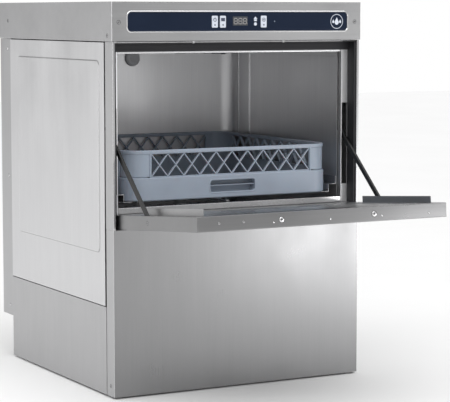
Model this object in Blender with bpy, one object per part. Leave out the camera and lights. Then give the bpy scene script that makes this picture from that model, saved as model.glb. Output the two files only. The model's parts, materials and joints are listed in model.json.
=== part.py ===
"""Commercial undercounter dishwasher with a drop-down door, modelled at real size in metres.

Machine frame: x = 0 is the middle of the body, y = 0 is the plane of the front posts, +Y points
to the back, z = 0 is the bottom edge of the skirts. Everything hangs on one empty, which moves
this frame so that the finished part stands on z = 0 with its bounding box centred.
The door is drawn open, resting on its stop, and the rack is drawn home in the chamber.
"""
import math

import bmesh
import bpy
from mathutils import Vector

# ---- driving dimensions -------------------------------------------------------------------
HEIGHT = 0.820                 # skirt bottom to lid top
FOOT_DROP = 0.004              # feet reach this far below the skirts
BODY_HALF = 0.2980             # outer face of the side skin
LID_HALF = 0.3000
SIDE_DEPTH = 0.5562            # back edge of the side panels
REAR_FACE = 0.6185             # back of the rear cover and the lid
LID_BOTTOM = 0.7387
SEAM_Z = 0.1854                # seam between side panel and skirt
REAR_COVER_Z = 0.0921
SHEET = 0.0010
GAP = 0.0003                   # between touching pieces
OVERHANG = 0.0030              # lid and door stand this far in front of the posts

POST_DEPTH = 0.0365
PANEL_FRONT = 0.0425           # front edge of the side panel, past a shadow gap behind the post
PANEL_TOP = 0.7362
SEAM_GAP = 0.0018
POST_EDGE = 0.0050             # width of a post's front edge
FRAME_FACE = 0.0320            # front of the door frame, set back behind the posts
OPEN_HALF = 0.2725             # half the width of the mouth
LINTEL_Z = 0.7125              # top of the mouth
POST_FOOT = 0.3505
POST_TOP = 0.7380

CHAMBER_HALF = 0.2700
CHAMBER_BACK = 0.5285
CHAMBER_FRONT = 0.0448
CHAMBER_CORNER = 0.0350
WALL_JOINT_Y = 0.4406          # seam between side wall and wrapped back wall
WALL_TOP = 0.7005
ROOF_Z = 0.7340
TANK_TOP = 0.3600
TANK_FLOOR = 0.2400
SILL_TOP = 0.3920

HINGE_Y = 0.0120
HINGE_Z = 0.3660
DOOR_TILT = math.radians(5.0)  # the open door rests this far above level
DOOR_REACH = 0.3640            # hinge axis to far edge
DOOR_HEEL = 0.0120             # hinge axis to near edge
DOOR_OUT = 0.0150              # hinge axis to outer face
DOOR_IN = 0.0145               # hinge axis to inner face
DOOR_HALF = 0.2875
DOOR_SHEET = 0.0012
RUNNER_HALF = 0.2625
RUNNER_HEIGHT = 0.0140
PIN_RADIUS = 0.0040

STAY_X = 0.2800
STAY_THICK = 0.0050
STAY_HALF_WIDTH = 0.0052
STAY_LENGTH = 0.2700
STAY_ANGLE = math.radians(41.0)
STAY_U = 0.1452                # pivot, along the door from the hinge axis
STAY_W = 0.0040                # pivot, above the hinge axis

ARM_Y = 0.2800                 # spray arm axis
ARM_REACH = 0.2250
ARM_BORE = 0.0094
STANDPIPE_AT = (0.180, 0.120)
SUCTION_AT = (-0.130, 0.300)
PUMP_Z = 0.1300
STUB_Z = 0.0550                # height of the three service connections
GLAND_X = -0.2000
INLET_X = 0.0600
DRAIN_X = 0.2000
TANK_LOOP = (0.060, 0.150, 0.200, 0.470, 0.262)   # heater loop: x from, x to, y from, y to, z
VENT_ROWS = 6
VENT_PITCH = 0.0220

PANEL_X = (-0.2650, 0.2665)    # opening in the fascia
PANEL_Z = (0.7585, 0.7990)
OVERLAY_MARGIN = 0.0040
OVERLAY_Y = (-0.0017, -0.0002)
BUTTONS = {"power_button": -0.0617, "cycle_button": -0.0425, "drain_button": 0.0562}
KEY_HALF = (0.0072, 0.0125)
KEY_Z = 0.7785
KEY_CLEAR = 0.0004
DISPLAY_X = (-0.0190, 0.0175)
DISPLAY_Z = (0.7700, 0.7893)

RACK_BOTTOM = 0.4035
RACK_HEIGHT = 0.1070
RACK_FRONT = 0.0320
RACK_SIZE = 0.4950
RACK_CORNER = 0.0450
RACK_WALL = 0.0030
RACK_STEP = 0.0030             # the latticed part stands in from the solid part by this
STEP_Z = RACK_BOTTOM + 0.0490
LATTICE_PITCH = 0.0385
LATTICE_CELLS = 10
LATTICE_Z = (RACK_BOTTOM + 0.0505, RACK_BOTTOM + 0.0985)
BLADE = 0.0022
GRID_PITCH = 0.0620
GRID_BAR = 0.0060
GRID_COUNT = 7
GRIP = (-0.0550, 0.0550, RACK_BOTTOM + 0.0120, RACK_BOTTOM + 0.0380)
GRIP_DEPTH = 0.0210            # the grips are finger wells, closed at the back
GRIP_SKIN = 0.0016

DOOR_EDGE_RADIUS = 0.0020
DOOR_NEAREST_Y = (HINGE_Y - math.cos(DOOR_TILT) * DOOR_REACH
                  - math.sin(DOOR_TILT) * (DOOR_OUT - DOOR_EDGE_RADIUS))
CENTRE_SHIFT_Y = -(REAR_FACE + DOOR_NEAREST_Y) / 2


# ---- scene and materials ------------------------------------------------------------------
for old in list(bpy.data.objects):
    bpy.data.objects.remove(old, do_unlink=True)


def finish(name, colour, metallic, roughness, transmission=0.0):
    mat = bpy.data.materials.new(name)
    mat.use_nodes = True
    shader = mat.node_tree.nodes["Principled BSDF"]
    shader.inputs["Base Color"].default_value = (*colour, 1.0)
    shader.inputs["Metallic"].default_value = metallic
    shader.inputs["Roughness"].default_value = roughness
    shader.inputs["Transmission Weight"].default_value = transmission
    return mat


STEEL = ("steel", (0.55, 0.55, 0.56), 1.0, 0.35)
POLISHED = ("polished_steel", (0.62, 0.62, 0.63), 1.0, 0.18)
DARK_STEEL = ("dark_steel", (0.12, 0.12, 0.13), 0.9, 0.45)
RUBBER = ("black_rubber", (0.015, 0.015, 0.018), 0.0, 0.70)
NAVY = ("navy_film", (0.02, 0.028, 0.07), 0.0, 0.35)
WHITE_KEY = ("white_key", (0.72, 0.74, 0.78), 0.0, 0.40)
GLASS = ("display_glass", (0.10, 0.11, 0.12), 0.0, 0.10)
CIRCUIT = ("circuit_board", (0.03, 0.16, 0.06), 0.0, 0.50)
RACK_BLUE = ("rack_plastic", (0.36, 0.42, 0.50), 0.0, 0.45)
GREY_PLASTIC = ("grey_plastic", (0.25, 0.26, 0.27), 0.0, 0.50)
PUMP_BLACK = ("pump_plastic", (0.03, 0.03, 0.03), 0.0, 0.50)
ALUMINIUM = ("cast_aluminium", (0.45, 0.46, 0.47), 1.0, 0.50)
BRASS = ("brass", (0.60, 0.44, 0.20), 1.0, 0.35)

machine = bpy.data.objects.new("machine_frame", None)
machine.location = (0.0, CENTRE_SHIFT_Y, FOOT_DROP)
bpy.context.collection.objects.link(machine)


# ---- outlines ------------------------------------------------------------------------------
def rectangle(x0, x1, y0, y1):
    return [(x0, y0), (x1, y0), (x1, y1), (x0, y1)]


def arc(cx, cy, radius, start, end, steps):
    turn = math.radians(end - start)
    first = math.radians(start)
    return [(cx + radius * math.cos(first + turn * i / steps),
             cy + radius * math.sin(first + turn * i / steps)) for i in range(steps + 1)]


def circle(cx, cy, radius, steps=18):
    return arc(cx, cy, radius, 0, 360, steps)[:-1]


def rounded(x0, x1, y0, y1, radius, steps=4):
    return (arc(x1 - radius, y0 + radius, radius, -90, 0, steps)
            + arc(x1 - radius, y1 - radius, radius, 0, 90, steps)
            + arc(x0 + radius, y1 - radius, radius, 90, 180, steps)
            + arc(x0 + radius, y0 + radius, radius, 180, 270, steps))


def round_back(half, front, back, radius, steps=5):
    """A rectangle whose two back corners are rounded."""
    return ([(-half, front), (half, front)]
            + arc(half - radius, back - radius, radius, 0, 90, steps)
            + arc(-half + radius, back - radius, radius, 90, 180, steps))


def folded(path, thickness=SHEET):
    """The closed outline of a folded sheet that lies to the left of an open path."""
    points = [Vector(p) for p in path]
    inner = []
    for i, point in enumerate(points):
        before = (point - points[i - 1]).normalized() if i else None
        after = (points[i + 1] - point).normalized() if i + 1 < len(points) else None
        first = before or after
        last = after or before
        n0 = Vector((-first.y, first.x))
        n1 = Vector((-last.y, last.x))
        mitre = (n0 + n1).normalized()
        inner.append(point + mitre * (thickness / mitre.dot(n0)))
    return [tuple(p) for p in points] + [tuple(p) for p in reversed(inner)]


def mirrored(outline, sign):
    return [(sign * a, b) for a, b in outline]


# ---- solids --------------------------------------------------------------------------------
PLACE = {"X": lambda a, b, h: (h, a, b), "Y": lambda a, b, h: (a, h, b), "Z": lambda a, b, h: (a, b, h)}


def add_prism(bm, outline, axis, low, high, top=None):
    """Extrude an outline along an axis. top, if given, is the outline at the high end."""
    place = PLACE[axis]
    lower = [bm.verts.new(place(a, b, low)) for a, b in outline]
    upper = [bm.verts.new(place(a, b, high)) for a, b in (top or outline)]
    bm.faces.new(lower)
    bm.faces.new(upper)
    count = len(lower)
    for i in range(count):
        j = (i + 1) % count
        bm.faces.new((lower[i], lower[j], upper[j], upper[i]))


def add_box(bm, x, y, z):
    add_prism(bm, rectangle(*x, *y), "Z", *z)


def add_turned(bm, profile, centre, axis="Z", steps=16):
    """Turn (radius, height) points about an axis. A hollow profile starts and ends off the axis."""
    rings = []
    for radius, height in profile:
        ring = []
        count = steps if radius > 0 else 1
        for i in range(count):
            angle = 2 * math.pi * i / steps
            a, b = radius * math.cos(angle), radius * math.sin(angle)
            ring.append(bm.verts.new(Vector(centre) + Vector(PLACE[axis](a, b, height))))
        rings.append(ring)
    closed = profile[0][0] > 0
    pairs = list(zip(rings, rings[1:] + rings[:1])) if closed else list(zip(rings, rings[1:]))
    for one, two in pairs:
        for i in range(steps):
            j = (i + 1) % steps
            corner = [one[i % len(one)], one[j % len(one)], two[j % len(two)], two[i % len(two)]]
            bm.faces.new(list(dict.fromkeys(corner)))


def new_object(name, bm, look, parent=None, sharp=None):
    bmesh.ops.recalc_face_normals(bm, faces=bm.faces[:])
    mesh = bpy.data.meshes.new(name)
    bm.to_mesh(mesh)
    bm.free()
    obj = bpy.data.objects.new(name, mesh)
    bpy.context.collection.objects.link(obj)
    obj.parent = parent or machine
    if look:
        mesh.materials.append(finish(look[0] + "." + name, *look[1:]))
    if sharp:
        mesh.shade_smooth()
        mesh.set_sharp_from_angle(angle=math.radians(sharp))
    return obj


def solid(name, look, build, parent=None, sharp=None):
    bm = bmesh.new()
    build(bm)
    return new_object(name, bm, look, parent, sharp)


def combine(target, kind, build):
    """Boolean with a hidden tool. kind is DIFFERENCE or UNION."""
    bm = bmesh.new()
    build(bm)
    tool = new_object(target.name + "_" + kind.lower() + str(len(target.modifiers)), bm, None, target.parent)
    tool.hide_render = True
    tool.display_type = "WIRE"
    step = target.modifiers.new(kind.title(), "BOOLEAN")
    step.operation = kind
    step.solver = "EXACT"
    step.object = tool


def cut(target, build):
    combine(target, "DIFFERENCE", build)


def join(target, build):
    combine(target, "UNION", build)


def prism(name, look, outline, axis, low, high, parent=None, sharp=None):
    return solid(name, look, lambda bm: add_prism(bm, outline, axis, low, high), parent, sharp)


def turned(name, look, profile, centre, axis="Z", steps=16, parent=None):
    return solid(name, look, lambda bm: add_turned(bm, profile, centre, axis, steps), parent, 35)


def shell(name, look, outline, inner, z, inner_z):
    """A prism hollowed by a second prism that runs out of one end."""
    body = prism(name, look, outline, "Z", *z)
    cut(body, lambda bm: add_prism(bm, inner, "Z", *inner_z))
    return body


def tube(name, look, points, radius, parent=None, sides=3):
    curve = bpy.data.curves.new(name, "CURVE")
    curve.dimensions = "3D"
    curve.bevel_depth = radius
    curve.bevel_resolution = sides
    curve.use_fill_caps = True
    spline = curve.splines.new("POLY")
    spline.points.add(len(points) - 1)
    for point, place in zip(spline.points, points):
        point.co = (*place, 1.0)
    curve.materials.append(finish(look[0] + "." + name, *look[1:]))
    obj = bpy.data.objects.new(name, curve)
    bpy.context.collection.objects.link(obj)
    obj.parent = parent or machine
    return obj


def bend(centre, radius, start, end, plane, steps=6):
    """Points on an arc in a plane: plane is two unit vectors."""
    one, two = (Vector(v) for v in plane)
    points = []
    for i in range(steps + 1):
        angle = math.radians(start + (end - start) * i / steps)
        points.append(Vector(centre) + radius * (math.cos(angle) * one + math.sin(angle) * two))
    return points


# ---- base, skins and covers ----------------------------------------------------------------
def base_tray():
    outer = rectangle(-0.2950, 0.2950, 0.0030, 0.5545)
    inner = rectangle(-0.2938, 0.2938, 0.0042, 0.5533)
    shell("base_tray", STEEL, outer, inner, (0.0080, 0.0300), (0.0095, 0.0400))


def feet():
    top = 0.0080 - GAP
    profile = [(0, -FOOT_DROP), (0.0180, -FOOT_DROP), (0.0200, -FOOT_DROP + 0.002), (0.0200, 0.0035),
               (0.0090, 0.0045), (0.0090, top), (0, top)]
    places = {"front_left": (-0.25, 0.05), "front_right": (0.25, 0.05),
              "rear_left": (-0.25, 0.505), "rear_right": (0.25, 0.505)}
    for name, (x, y) in places.items():
        turned(name + "_foot", RUBBER, profile, (x, y, 0.0))


def side_panel(name, sign):
    def plate(bm):
        add_prism(bm, rectangle(PANEL_FRONT, SIDE_DEPTH, SEAM_Z + SEAM_GAP, PANEL_TOP), "X",
                  sign * BODY_HALF, sign * (BODY_HALF - SHEET))

    def pressing(bm):
        low, high = sign * (BODY_HALF - SHEET / 2), sign * (BODY_HALF + 0.0013)
        add_prism(bm, rounded(0.0650, 0.5110, 0.2955, 0.7005, 0.0120), "X", low, high,
                  rounded(0.0680, 0.5080, 0.2985, 0.6975, 0.0095))
    join(solid(name, STEEL, plate), pressing)


def skirt(name, sign):
    prism(name, STEEL, rectangle(0.0378, SIDE_DEPTH, 0.0, SEAM_Z), "X",
          sign * BODY_HALF, sign * (BODY_HALF - SHEET))


def lower_front_panel():
    top = POST_FOOT - GAP
    path = [(-BODY_HALF, 0.0354), (-BODY_HALF, 0.0), (BODY_HALF, 0.0), (BODY_HALF, 0.0354)]
    panel = prism("lower_front_panel", STEEL, folded(path), "Z", 0.0, top)
    join(panel, lambda bm: add_box(bm, (-0.2972, 0.2972), (0.0005, 0.0150), (top - SHEET, top)))


def rear_panel():
    panel = prism("rear_panel", STEEL, rectangle(-0.2955, 0.2955, 0.0100, 0.7360), "Y", 0.5550, 0.5562)

    def holes(bm):
        for x, radius in ((GLAND_X, 0.0105), (INLET_X, 0.0145), (DRAIN_X, 0.0175)):
            add_prism(bm, circle(x, STUB_Z, radius), "Y", 0.5500, 0.5600)
    cut(panel, holes)


def rear_cover():
    wide = 0.2970
    outer = rectangle(-wide, wide, 0.5568, REAR_FACE)
    inner = rectangle(-wide + SHEET, wide - SHEET, 0.5500, REAR_FACE - SHEET)
    cover = shell("rear_cover", STEEL, outer, inner, (REAR_COVER_Z, 0.7380), (REAR_COVER_Z + SHEET, 0.7500))

    def vents(bm):
        for side in (-1, 1):
            x = side * 0.1600
            for row in range(VENT_ROWS):
                z = 0.5600 + VENT_PITCH * row
                add_box(bm, (x - 0.05, x + 0.05), (REAR_FACE - 0.003, REAR_FACE + 0.003), (z, z + 0.006))
    cut(cover, vents)


def top_cover():
    outer = rounded(-LID_HALF, LID_HALF, -OVERHANG, REAR_FACE, 0.0020, 2)
    inner = rectangle(-LID_HALF + SHEET, LID_HALF - SHEET, -0.0100, REAR_FACE - SHEET)
    shell("top_cover", STEEL, outer, inner, (LID_BOTTOM, HEIGHT), (LID_BOTTOM - 0.01, HEIGHT - SHEET))


def control_fascia():
    half = LID_HALF - SHEET - GAP
    top = HEIGHT - SHEET - GAP
    path = [(0.0120, LID_BOTTOM), (-OVERHANG, LID_BOTTOM), (-OVERHANG, top), (0.0120, top)]
    plate = prism("control_fascia", STEEL, folded([(y, z) for y, z in reversed(path)]), "X", -half, half)
    cut(plate, lambda bm: add_prism(bm, rounded(*PANEL_X, *PANEL_Z, 0.0090), "Y", -0.01, 0.005))


def grown(x, z, margin, radius):
    """A rounded rectangle this much larger on every side."""
    return rounded(x[0] - margin, x[1] + margin, z[0] - margin, z[1] + margin, radius)


def key_span(x):
    return (x - KEY_HALF[0], x + KEY_HALF[0]), (KEY_Z - KEY_HALF[1], KEY_Z + KEY_HALF[1])


def control_overlay():
    panel = prism("control_overlay", NAVY, grown(PANEL_X, PANEL_Z, OVERLAY_MARGIN, 0.010), "Y", *OVERLAY_Y)

    def holes(bm):
        for x in BUTTONS.values():
            add_prism(bm, grown(*key_span(x), KEY_CLEAR, 0.0025), "Y", -0.01, 0.01)
        add_prism(bm, rounded(*DISPLAY_X, *DISPLAY_Z, 0.0015), "Y", -0.01, 0.01)
    cut(panel, holes)


def keys():
    for name, x in BUTTONS.items():
        prism(name, WHITE_KEY, grown(*key_span(x), 0.0, 0.0022), "Y", -0.0024, 0.0038)


def display_window():
    prism("display_window", GLASS, grown(DISPLAY_X, DISPLAY_Z, -GAP, 0.0013), "Y", -0.0020, 0.0030)


def control_board():
    def board(bm):
        add_box(bm, (-0.110, 0.110), (0.0110, 0.0126), (0.7500, 0.8080))

    def parts(bm):
        for x in BUTTONS.values():
            add_box(bm, (x - 0.004, x + 0.004), (0.0060, 0.0115), (KEY_Z - 0.004, KEY_Z + 0.004))
        add_box(bm, (-0.0180, 0.0165), (0.0036, 0.0115), (0.7705, 0.7885))
        add_box(bm, (0.075, 0.100), (0.0120, 0.0240), (0.757, 0.800))
        add_box(bm, (-0.100, -0.080), (0.0120, 0.0280), (0.757, 0.800))
    join(solid("control_board", CIRCUIT, board), parts)


# ---- door frame and chamber ----------------------------------------------------------------
def front_post(name, sign):
    edge = BODY_HALF - POST_EDGE
    path = [(-BODY_HALF, POST_DEPTH), (-BODY_HALF, 0.0), (-edge, 0.0), (-edge, FRAME_FACE),
            (-OPEN_HALF, FRAME_FACE), (-OPEN_HALF, 0.0440)]
    post = prism(name, STEEL, mirrored(folded(path), -sign), "Z", POST_FOOT, POST_TOP)

    def openings(bm):
        low, high = sorted((sign * 0.2745, sign * 0.2875))
        add_box(bm, (low, high), (0.0300, 0.0350), (0.4200, 0.6000))
        near, far = sorted((sign * 0.2915, sign * 0.2955))
        add_prism(bm, circle(HINGE_Y, HINGE_Z, PIN_RADIUS + GAP), "X", near, far)
    cut(post, openings)


def lintel():
    path = [(0.0440, LINTEL_Z), (FRAME_FACE, LINTEL_Z), (FRAME_FACE, POST_TOP), (0.0440, POST_TOP)]
    prism("lintel", POLISHED, folded(list(reversed(path))), "X", -OPEN_HALF + 0.0005, OPEN_HALF - 0.0005)


def door_sill():
    path = [(FRAME_FACE, POST_FOOT), (FRAME_FACE, SILL_TOP), (0.0440, SILL_TOP), (0.0440, TANK_TOP + 0.001)]
    prism("door_sill", POLISHED, folded([(y, z) for y, z in reversed(path)]), "X",
          -OPEN_HALF + 0.0005, OPEN_HALF - 0.0005)


def door_seal():
    inner = FRAME_FACE - GAP
    side = BODY_HALF - POST_EDGE - GAP

    def top_bar(bm):
        add_box(bm, (-side, side), (0.0272, inner), (0.7165, 0.7345))

    def side_bars(bm):
        for sign in (-1, 1):
            add_box(bm, sorted((sign * 0.2885, sign * side)), (0.0040, inner - 0.0002), (0.3800, 0.7341))
    join(solid("door_seal", RUBBER, top_bar), side_bars)


def chamber_side_wall(name, sign):
    prism(name, POLISHED, rectangle(CHAMBER_FRONT, WALL_JOINT_Y - GAP, TANK_TOP + GAP, WALL_TOP), "X",
          sign * CHAMBER_HALF, sign * (CHAMBER_HALF + SHEET))


def chamber_plan(grow=0.0):
    return round_back(CHAMBER_HALF + grow, CHAMBER_FRONT, CHAMBER_BACK + grow, CHAMBER_CORNER + grow)


def back_chamber_wall():
    outer = [(x, max(y, WALL_JOINT_Y)) for x, y in chamber_plan(SHEET)]
    inner = [(x, max(y, WALL_JOINT_Y - 0.01)) for x, y in chamber_plan()]
    wall = shell("back_chamber_wall", POLISHED, outer, inner, (TANK_TOP + GAP, WALL_TOP), (0.30, 0.75))
    cut(wall, lambda bm: add_prism(bm, circle(0.0, 0.690, 0.0095), "Y", 0.50, 0.54))


def back_wall_plug():
    profile = [(0, -0.0080), (0.0160, -0.0080), (0.0190, -0.0060), (0.0190, -GAP), (0.0090, -GAP),
               (0.0090, 0.0035), (0, 0.0035)]
    turned("back_wall_plug", GREY_PLASTIC, profile, (0.0, CHAMBER_BACK, 0.690), "Y")


def chamber_roof():
    roof = shell("chamber_roof", POLISHED, chamber_plan(SHEET), chamber_plan(), (WALL_TOP + GAP, ROOF_Z),
                 (0.60, ROOF_Z - SHEET))
    cut(roof, lambda bm: add_prism(bm, circle(0.0, ARM_Y, 0.0105), "Z", 0.72, 0.75))


def wash_tank():
    outer = round_back(CHAMBER_HALF + SHEET, 0.0470, CHAMBER_BACK + SHEET, CHAMBER_CORNER + SHEET)
    inner = round_back(CHAMBER_HALF, 0.0480, CHAMBER_BACK, CHAMBER_CORNER)
    tank = shell("wash_tank", POLISHED, outer, inner, (TANK_FLOOR, TANK_TOP), (TANK_FLOOR + 0.0015, 0.40))

    def holes(bm):
        add_prism(bm, circle(*STANDPIPE_AT, 0.0140), "Z", 0.22, 0.26)
        add_prism(bm, circle(*SUCTION_AT, 0.0250), "Z", 0.22, 0.26)
    cut(tank, holes)


def tank_filter():
    plate = prism("tank_filter", POLISHED, round_back(0.2670, 0.0510, 0.5250, 0.0330), "Z", 0.3500, 0.3512)

    def slots(bm):
        add_prism(bm, circle(0.0, ARM_Y, 0.0180), "Z", 0.34, 0.36)
        add_prism(bm, circle(*STANDPIPE_AT, 0.0260), "Z", 0.34, 0.36)
        for column in range(6):
            x = -0.225 + 0.090 * column
            for row in range(4):
                y = 0.100 + 0.125 * row
                if math.dist((x, y), STANDPIPE_AT) > 0.09:
                    add_box(bm, (x - 0.030, x + 0.030), (y - 0.004, y + 0.004), (0.34, 0.36))
    cut(plate, slots)


def overflow_standpipe():
    low = TANK_FLOOR - 0.004
    profile = [(0.0100, low), (0.0130, low), (0.0130, 0.2500), (0.0180, 0.2540), (0.0130, 0.2600),
               (0.0130, 0.3560), (0.0190, 0.3600), (0.0190, 0.3680), (0.0100, 0.3700)]
    turned("overflow_standpipe", GREY_PLASTIC, profile, (*STANDPIPE_AT, 0.0), steps=20)


def tank_heater():
    x0, x1, y0, y1, low = TANK_LOOP
    radius = (x1 - x0) / 2
    middle = ((x0 + x1) / 2, y0, low)
    points = [Vector((x0, y1, low))]
    points += bend(middle, radius, 180, 360, ((1, 0, 0), (0, 1, 0)), 8)
    points += [Vector((x1, y1, low))]
    tube("tank_heater", DARK_STEEL, points, 0.0040, sides=2)


def rack_rail(name, sign):
    wall = CHAMBER_HALF - GAP
    path = [(0.2320, 0.4018), (0.2520, 0.4018), (0.2520, 0.4180), (wall, 0.4180), (wall, 0.4360)]
    outline = folded([(x, z) for x, z in path])
    prism(name, POLISHED, mirrored(outline, sign), "Y", 0.0480, 0.4900)


# ---- spray arms ----------------------------------------------------------------------------
def spray_arm(name, low, high, half_width, along_x):
    hub = 0.0240

    def blade(bm):
        reach = ARM_REACH - half_width
        tip = arc(reach, 0.0, half_width, -90, 90, 6)
        plan = tip + [(-x, -y) for x, y in tip]
        if not along_x:
            plan = [(-y, x) for x, y in plan]
        add_prism(bm, plan, "Z", low, high)
    arm = solid(name, POLISHED, blade)
    join(arm, lambda bm: add_prism(bm, circle(0.0, 0.0, hub), "Z", low - 0.0001, high + 0.0001))
    cut(arm, lambda bm: add_prism(bm, circle(0.0, 0.0, ARM_BORE, 20), "Z", low - 0.01, high + 0.01))
    arm.location = (0.0, ARM_Y, 0.0)
    for step in arm.modifiers:
        step.object.location = (0.0, ARM_Y, 0.0)


def spray_arms():
    turned("lower_spindle", GREY_PLASTIC,
           [(0, 0.2418), (0.0300, 0.2418), (0.0300, 0.2450), (0.0130, 0.2500), (0.0130, 0.3740),
            (0.0160, 0.3740), (0.0160, 0.3780), (0.0090, 0.3780), (0.0090, 0.3985), (0.0140, 0.3985),
            (0.0140, 0.4000), (0.0110, 0.4012), (0, 0.4012)], (0.0, ARM_Y, 0.0))
    spray_arm("lower_wash_arm", 0.3784, 0.3880, 0.0150, True)
    spray_arm("lower_rinse_arm", 0.3886, 0.3980, 0.0070, False)
    turned("upper_spindle", GREY_PLASTIC,
           [(0, 0.7050), (0.0110, 0.7050), (0.0140, 0.7062), (0.0140, 0.7080), (0.0090, 0.7080),
            (0.0090, 0.7300), (0.0170, 0.7300), (0.0170, 0.7327), (0.0100, 0.7327), (0.0100, 0.7400),
            (0, 0.7400)], (0.0, ARM_Y, 0.0))
    spray_arm("upper_rinse_arm", 0.7085, 0.7175, 0.0070, False)
    spray_arm("upper_wash_arm", 0.7182, 0.7294, 0.0150, True)


# ---- machinery under and around the tank ---------------------------------------------------
def wash_pump():
    turned("wash_pump_housing", PUMP_BLACK,
           [(0, -0.045), (0.030, -0.045), (0.062, -0.038), (0.062, 0.000), (0.050, 0.004), (0, 0.004)],
           (*SUCTION_AT, PUMP_Z), "X", 20)
    housing = bpy.data.objects["wash_pump_housing"]
    neck = circle(SUCTION_AT[0] - 0.020, SUCTION_AT[1], 0.0200)
    join(housing, lambda bm: add_prism(bm, neck, "Z", PUMP_Z, 0.2390))
    turned("wash_pump_motor", ALUMINIUM,
           [(0, 0.0045), (0.048, 0.0045), (0.056, 0.012), (0.056, 0.120), (0.050, 0.132),
            (0.020, 0.134), (0, 0.134)], (*SUCTION_AT, PUMP_Z), "X", 20)


def riser_pipe():
    radius, rise, back = 0.0090, 0.7520, 0.5422
    across = ((0, 1, 0), (0, 0, 1))
    points = [Vector((0.0, 0.480, 0.100)), Vector((0.0, 0.5172, 0.100))]
    points += bend((0.0, back - 0.025, 0.125), 0.025, -90, 0, across)
    points += bend((0.0, back - 0.025, rise - 0.025), 0.025, 0, 90, across)
    points += bend((0.0, ARM_Y + 0.010, rise - 0.010), 0.010, 90, 180, across, 4)
    points += [Vector((0.0, ARM_Y, 0.7410))]
    tube("riser_pipe", RUBBER, points, radius)


def boiler():
    at = (0.170, 0.320, 0.0)
    wall = 0.0015
    outside = [(0.030, 0.040), (0.060, 0.042), (0.080, 0.056), (0.080, 0.209), (0.060, 0.223), (0.0, 0.225)]
    inside = [(max(r - wall, 0.0) if r > 0.04 else r, h + (wall if h < 0.1 else -wall)) for r, h in outside]
    turned("boiler_tank", STEEL, list(reversed(outside)) + inside, at, steps=20)
    turned("boiler_heater", BRASS,
           [(0, 0.012), (0.022, 0.012), (0.022, 0.030), (0.034, 0.030), (0.034, 0.0397), (0, 0.0397)], at)


def inlet_valve():
    turned("inlet_valve", BRASS,
           [(0, -0.060), (0.018, -0.060), (0.018, -0.010), (0.0130, -0.010), (0.0130, 0.030),
            (0.0100, 0.034), (0, 0.034)], (INLET_X, SIDE_DEPTH, STUB_Z), "Y")


def drain_pump():
    turned("drain_pump", GREY_PLASTIC,
           [(0, -0.130), (0.030, -0.130), (0.030, -0.065), (0.040, -0.060), (0.040, -0.025),
            (0.0165, -0.020), (0.0165, 0.030), (0.0140, 0.045), (0, 0.045)],
           (DRAIN_X, SIDE_DEPTH, STUB_Z), "Y")


def cable_gland():
    turned("cable_gland", PUMP_BLACK,
           [(0.0050, -0.014), (0.0140, -0.014), (0.0140, -0.0015), (0.0100, -0.0015), (0.0100, 0.0005),
            (0.0150, 0.0005), (0.0150, 0.008), (0.0110, 0.020), (0.0050, 0.020)],
           (GLAND_X, SIDE_DEPTH, STUB_Z), "Y", 20)


def dosing_pumps():
    for name, x in (("detergent_pump", -0.200), ("rinse_aid_pump", -0.110)):
        def body(bm, x=x):
            add_prism(bm, rounded(x - 0.032, x + 0.032, 0.060, 0.124, 0.008), "Y", 0.040, 0.090)

        def head(bm, x=x):
            add_prism(bm, circle(x, 0.092, 0.024), "Y", 0.018, 0.045)
        join(solid(name, GREY_PLASTIC, body), head)


def terminal_box():
    outline = rounded(-0.250, -0.150, 0.400, 0.500, 0.006)
    box = prism("terminal_box", GREY_PLASTIC, outline, "Z", 0.7450, 0.7950)
    cut(box, lambda bm: add_box(bm, (-0.246, -0.154), (0.404, 0.496), (0.749, 0.820)))


# ---- door ----------------------------------------------------------------------------------
def door_group():
    axis = bpy.data.objects.new("door_axis", None)
    axis.location = (0.0, HINGE_Y, HINGE_Z)
    axis.rotation_euler = (-DOOR_TILT, 0.0, 0.0)
    axis.parent = machine
    bpy.context.collection.objects.link(axis)
    return axis


def door_profile(grow, top):
    """Side view of the door: -y is outward from the hinge, +z is the inner face."""
    heel, out, radius = DOOR_HEEL + grow, DOOR_OUT + grow, 0.0100 + grow
    reach, small = DOOR_REACH + grow, DOOR_EDGE_RADIUS
    return ([(heel, top), (-reach, top)]
            + arc(-reach + small, -out + small, small, 180, 270, 2)
            + arc(heel - radius, -out + radius, radius, 270, 360, 4))


def door_outer_panel(axis):
    section = door_profile(0.0, DOOR_IN - GAP)
    panel = prism("door_outer_panel", STEEL, section, "X", -DOOR_HALF, DOOR_HALF, axis)

    half = DOOR_HALF - DOOR_SHEET
    cut(panel, lambda bm: add_prism(bm, door_profile(-DOOR_SHEET, DOOR_IN + 0.01), "X", -half, half))

    def studs(bm):
        for sign in (-1, 1):
            add_prism(bm, circle(-STAY_U, STAY_W, 0.0030, 12), "X",
                      *sorted((sign * (DOOR_HALF - 0.0006), sign * 0.2745)))
    join(panel, studs)
    cut(panel, lambda bm: add_prism(bm, circle(0.0, 0.0, PIN_RADIUS + GAP), "X", -0.30, 0.30))


def door_inner_panel(axis):
    """The polished liner: a flat sheet with an upright runner along each side for the rack."""
    edge = DOOR_HALF - DOOR_SHEET - GAP
    near, far = DOOR_HEEL - DOOR_SHEET - GAP, -DOOR_REACH + DOOR_SHEET + GAP
    liner = prism("door_inner_panel", POLISHED, rectangle(-edge, edge, far, near), "Z",
                  DOOR_IN - DOOR_SHEET, DOOR_IN, axis)

    def runners(bm):
        for sign in (-1, 1):
            add_prism(bm, rectangle(-0.3450, -0.0880, DOOR_IN - 0.0006, DOOR_IN + RUNNER_HEIGHT), "X",
                      *sorted((sign * RUNNER_HALF, sign * (RUNNER_HALF + DOOR_SHEET))))
    join(liner, runners)

    def slots(bm):
        for sign in (-1, 1):
            add_box(bm, sorted((sign * 0.2745, sign * 0.2850)), (-0.1720, -0.1190), (0.0, 0.03))
    cut(liner, slots)


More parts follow.
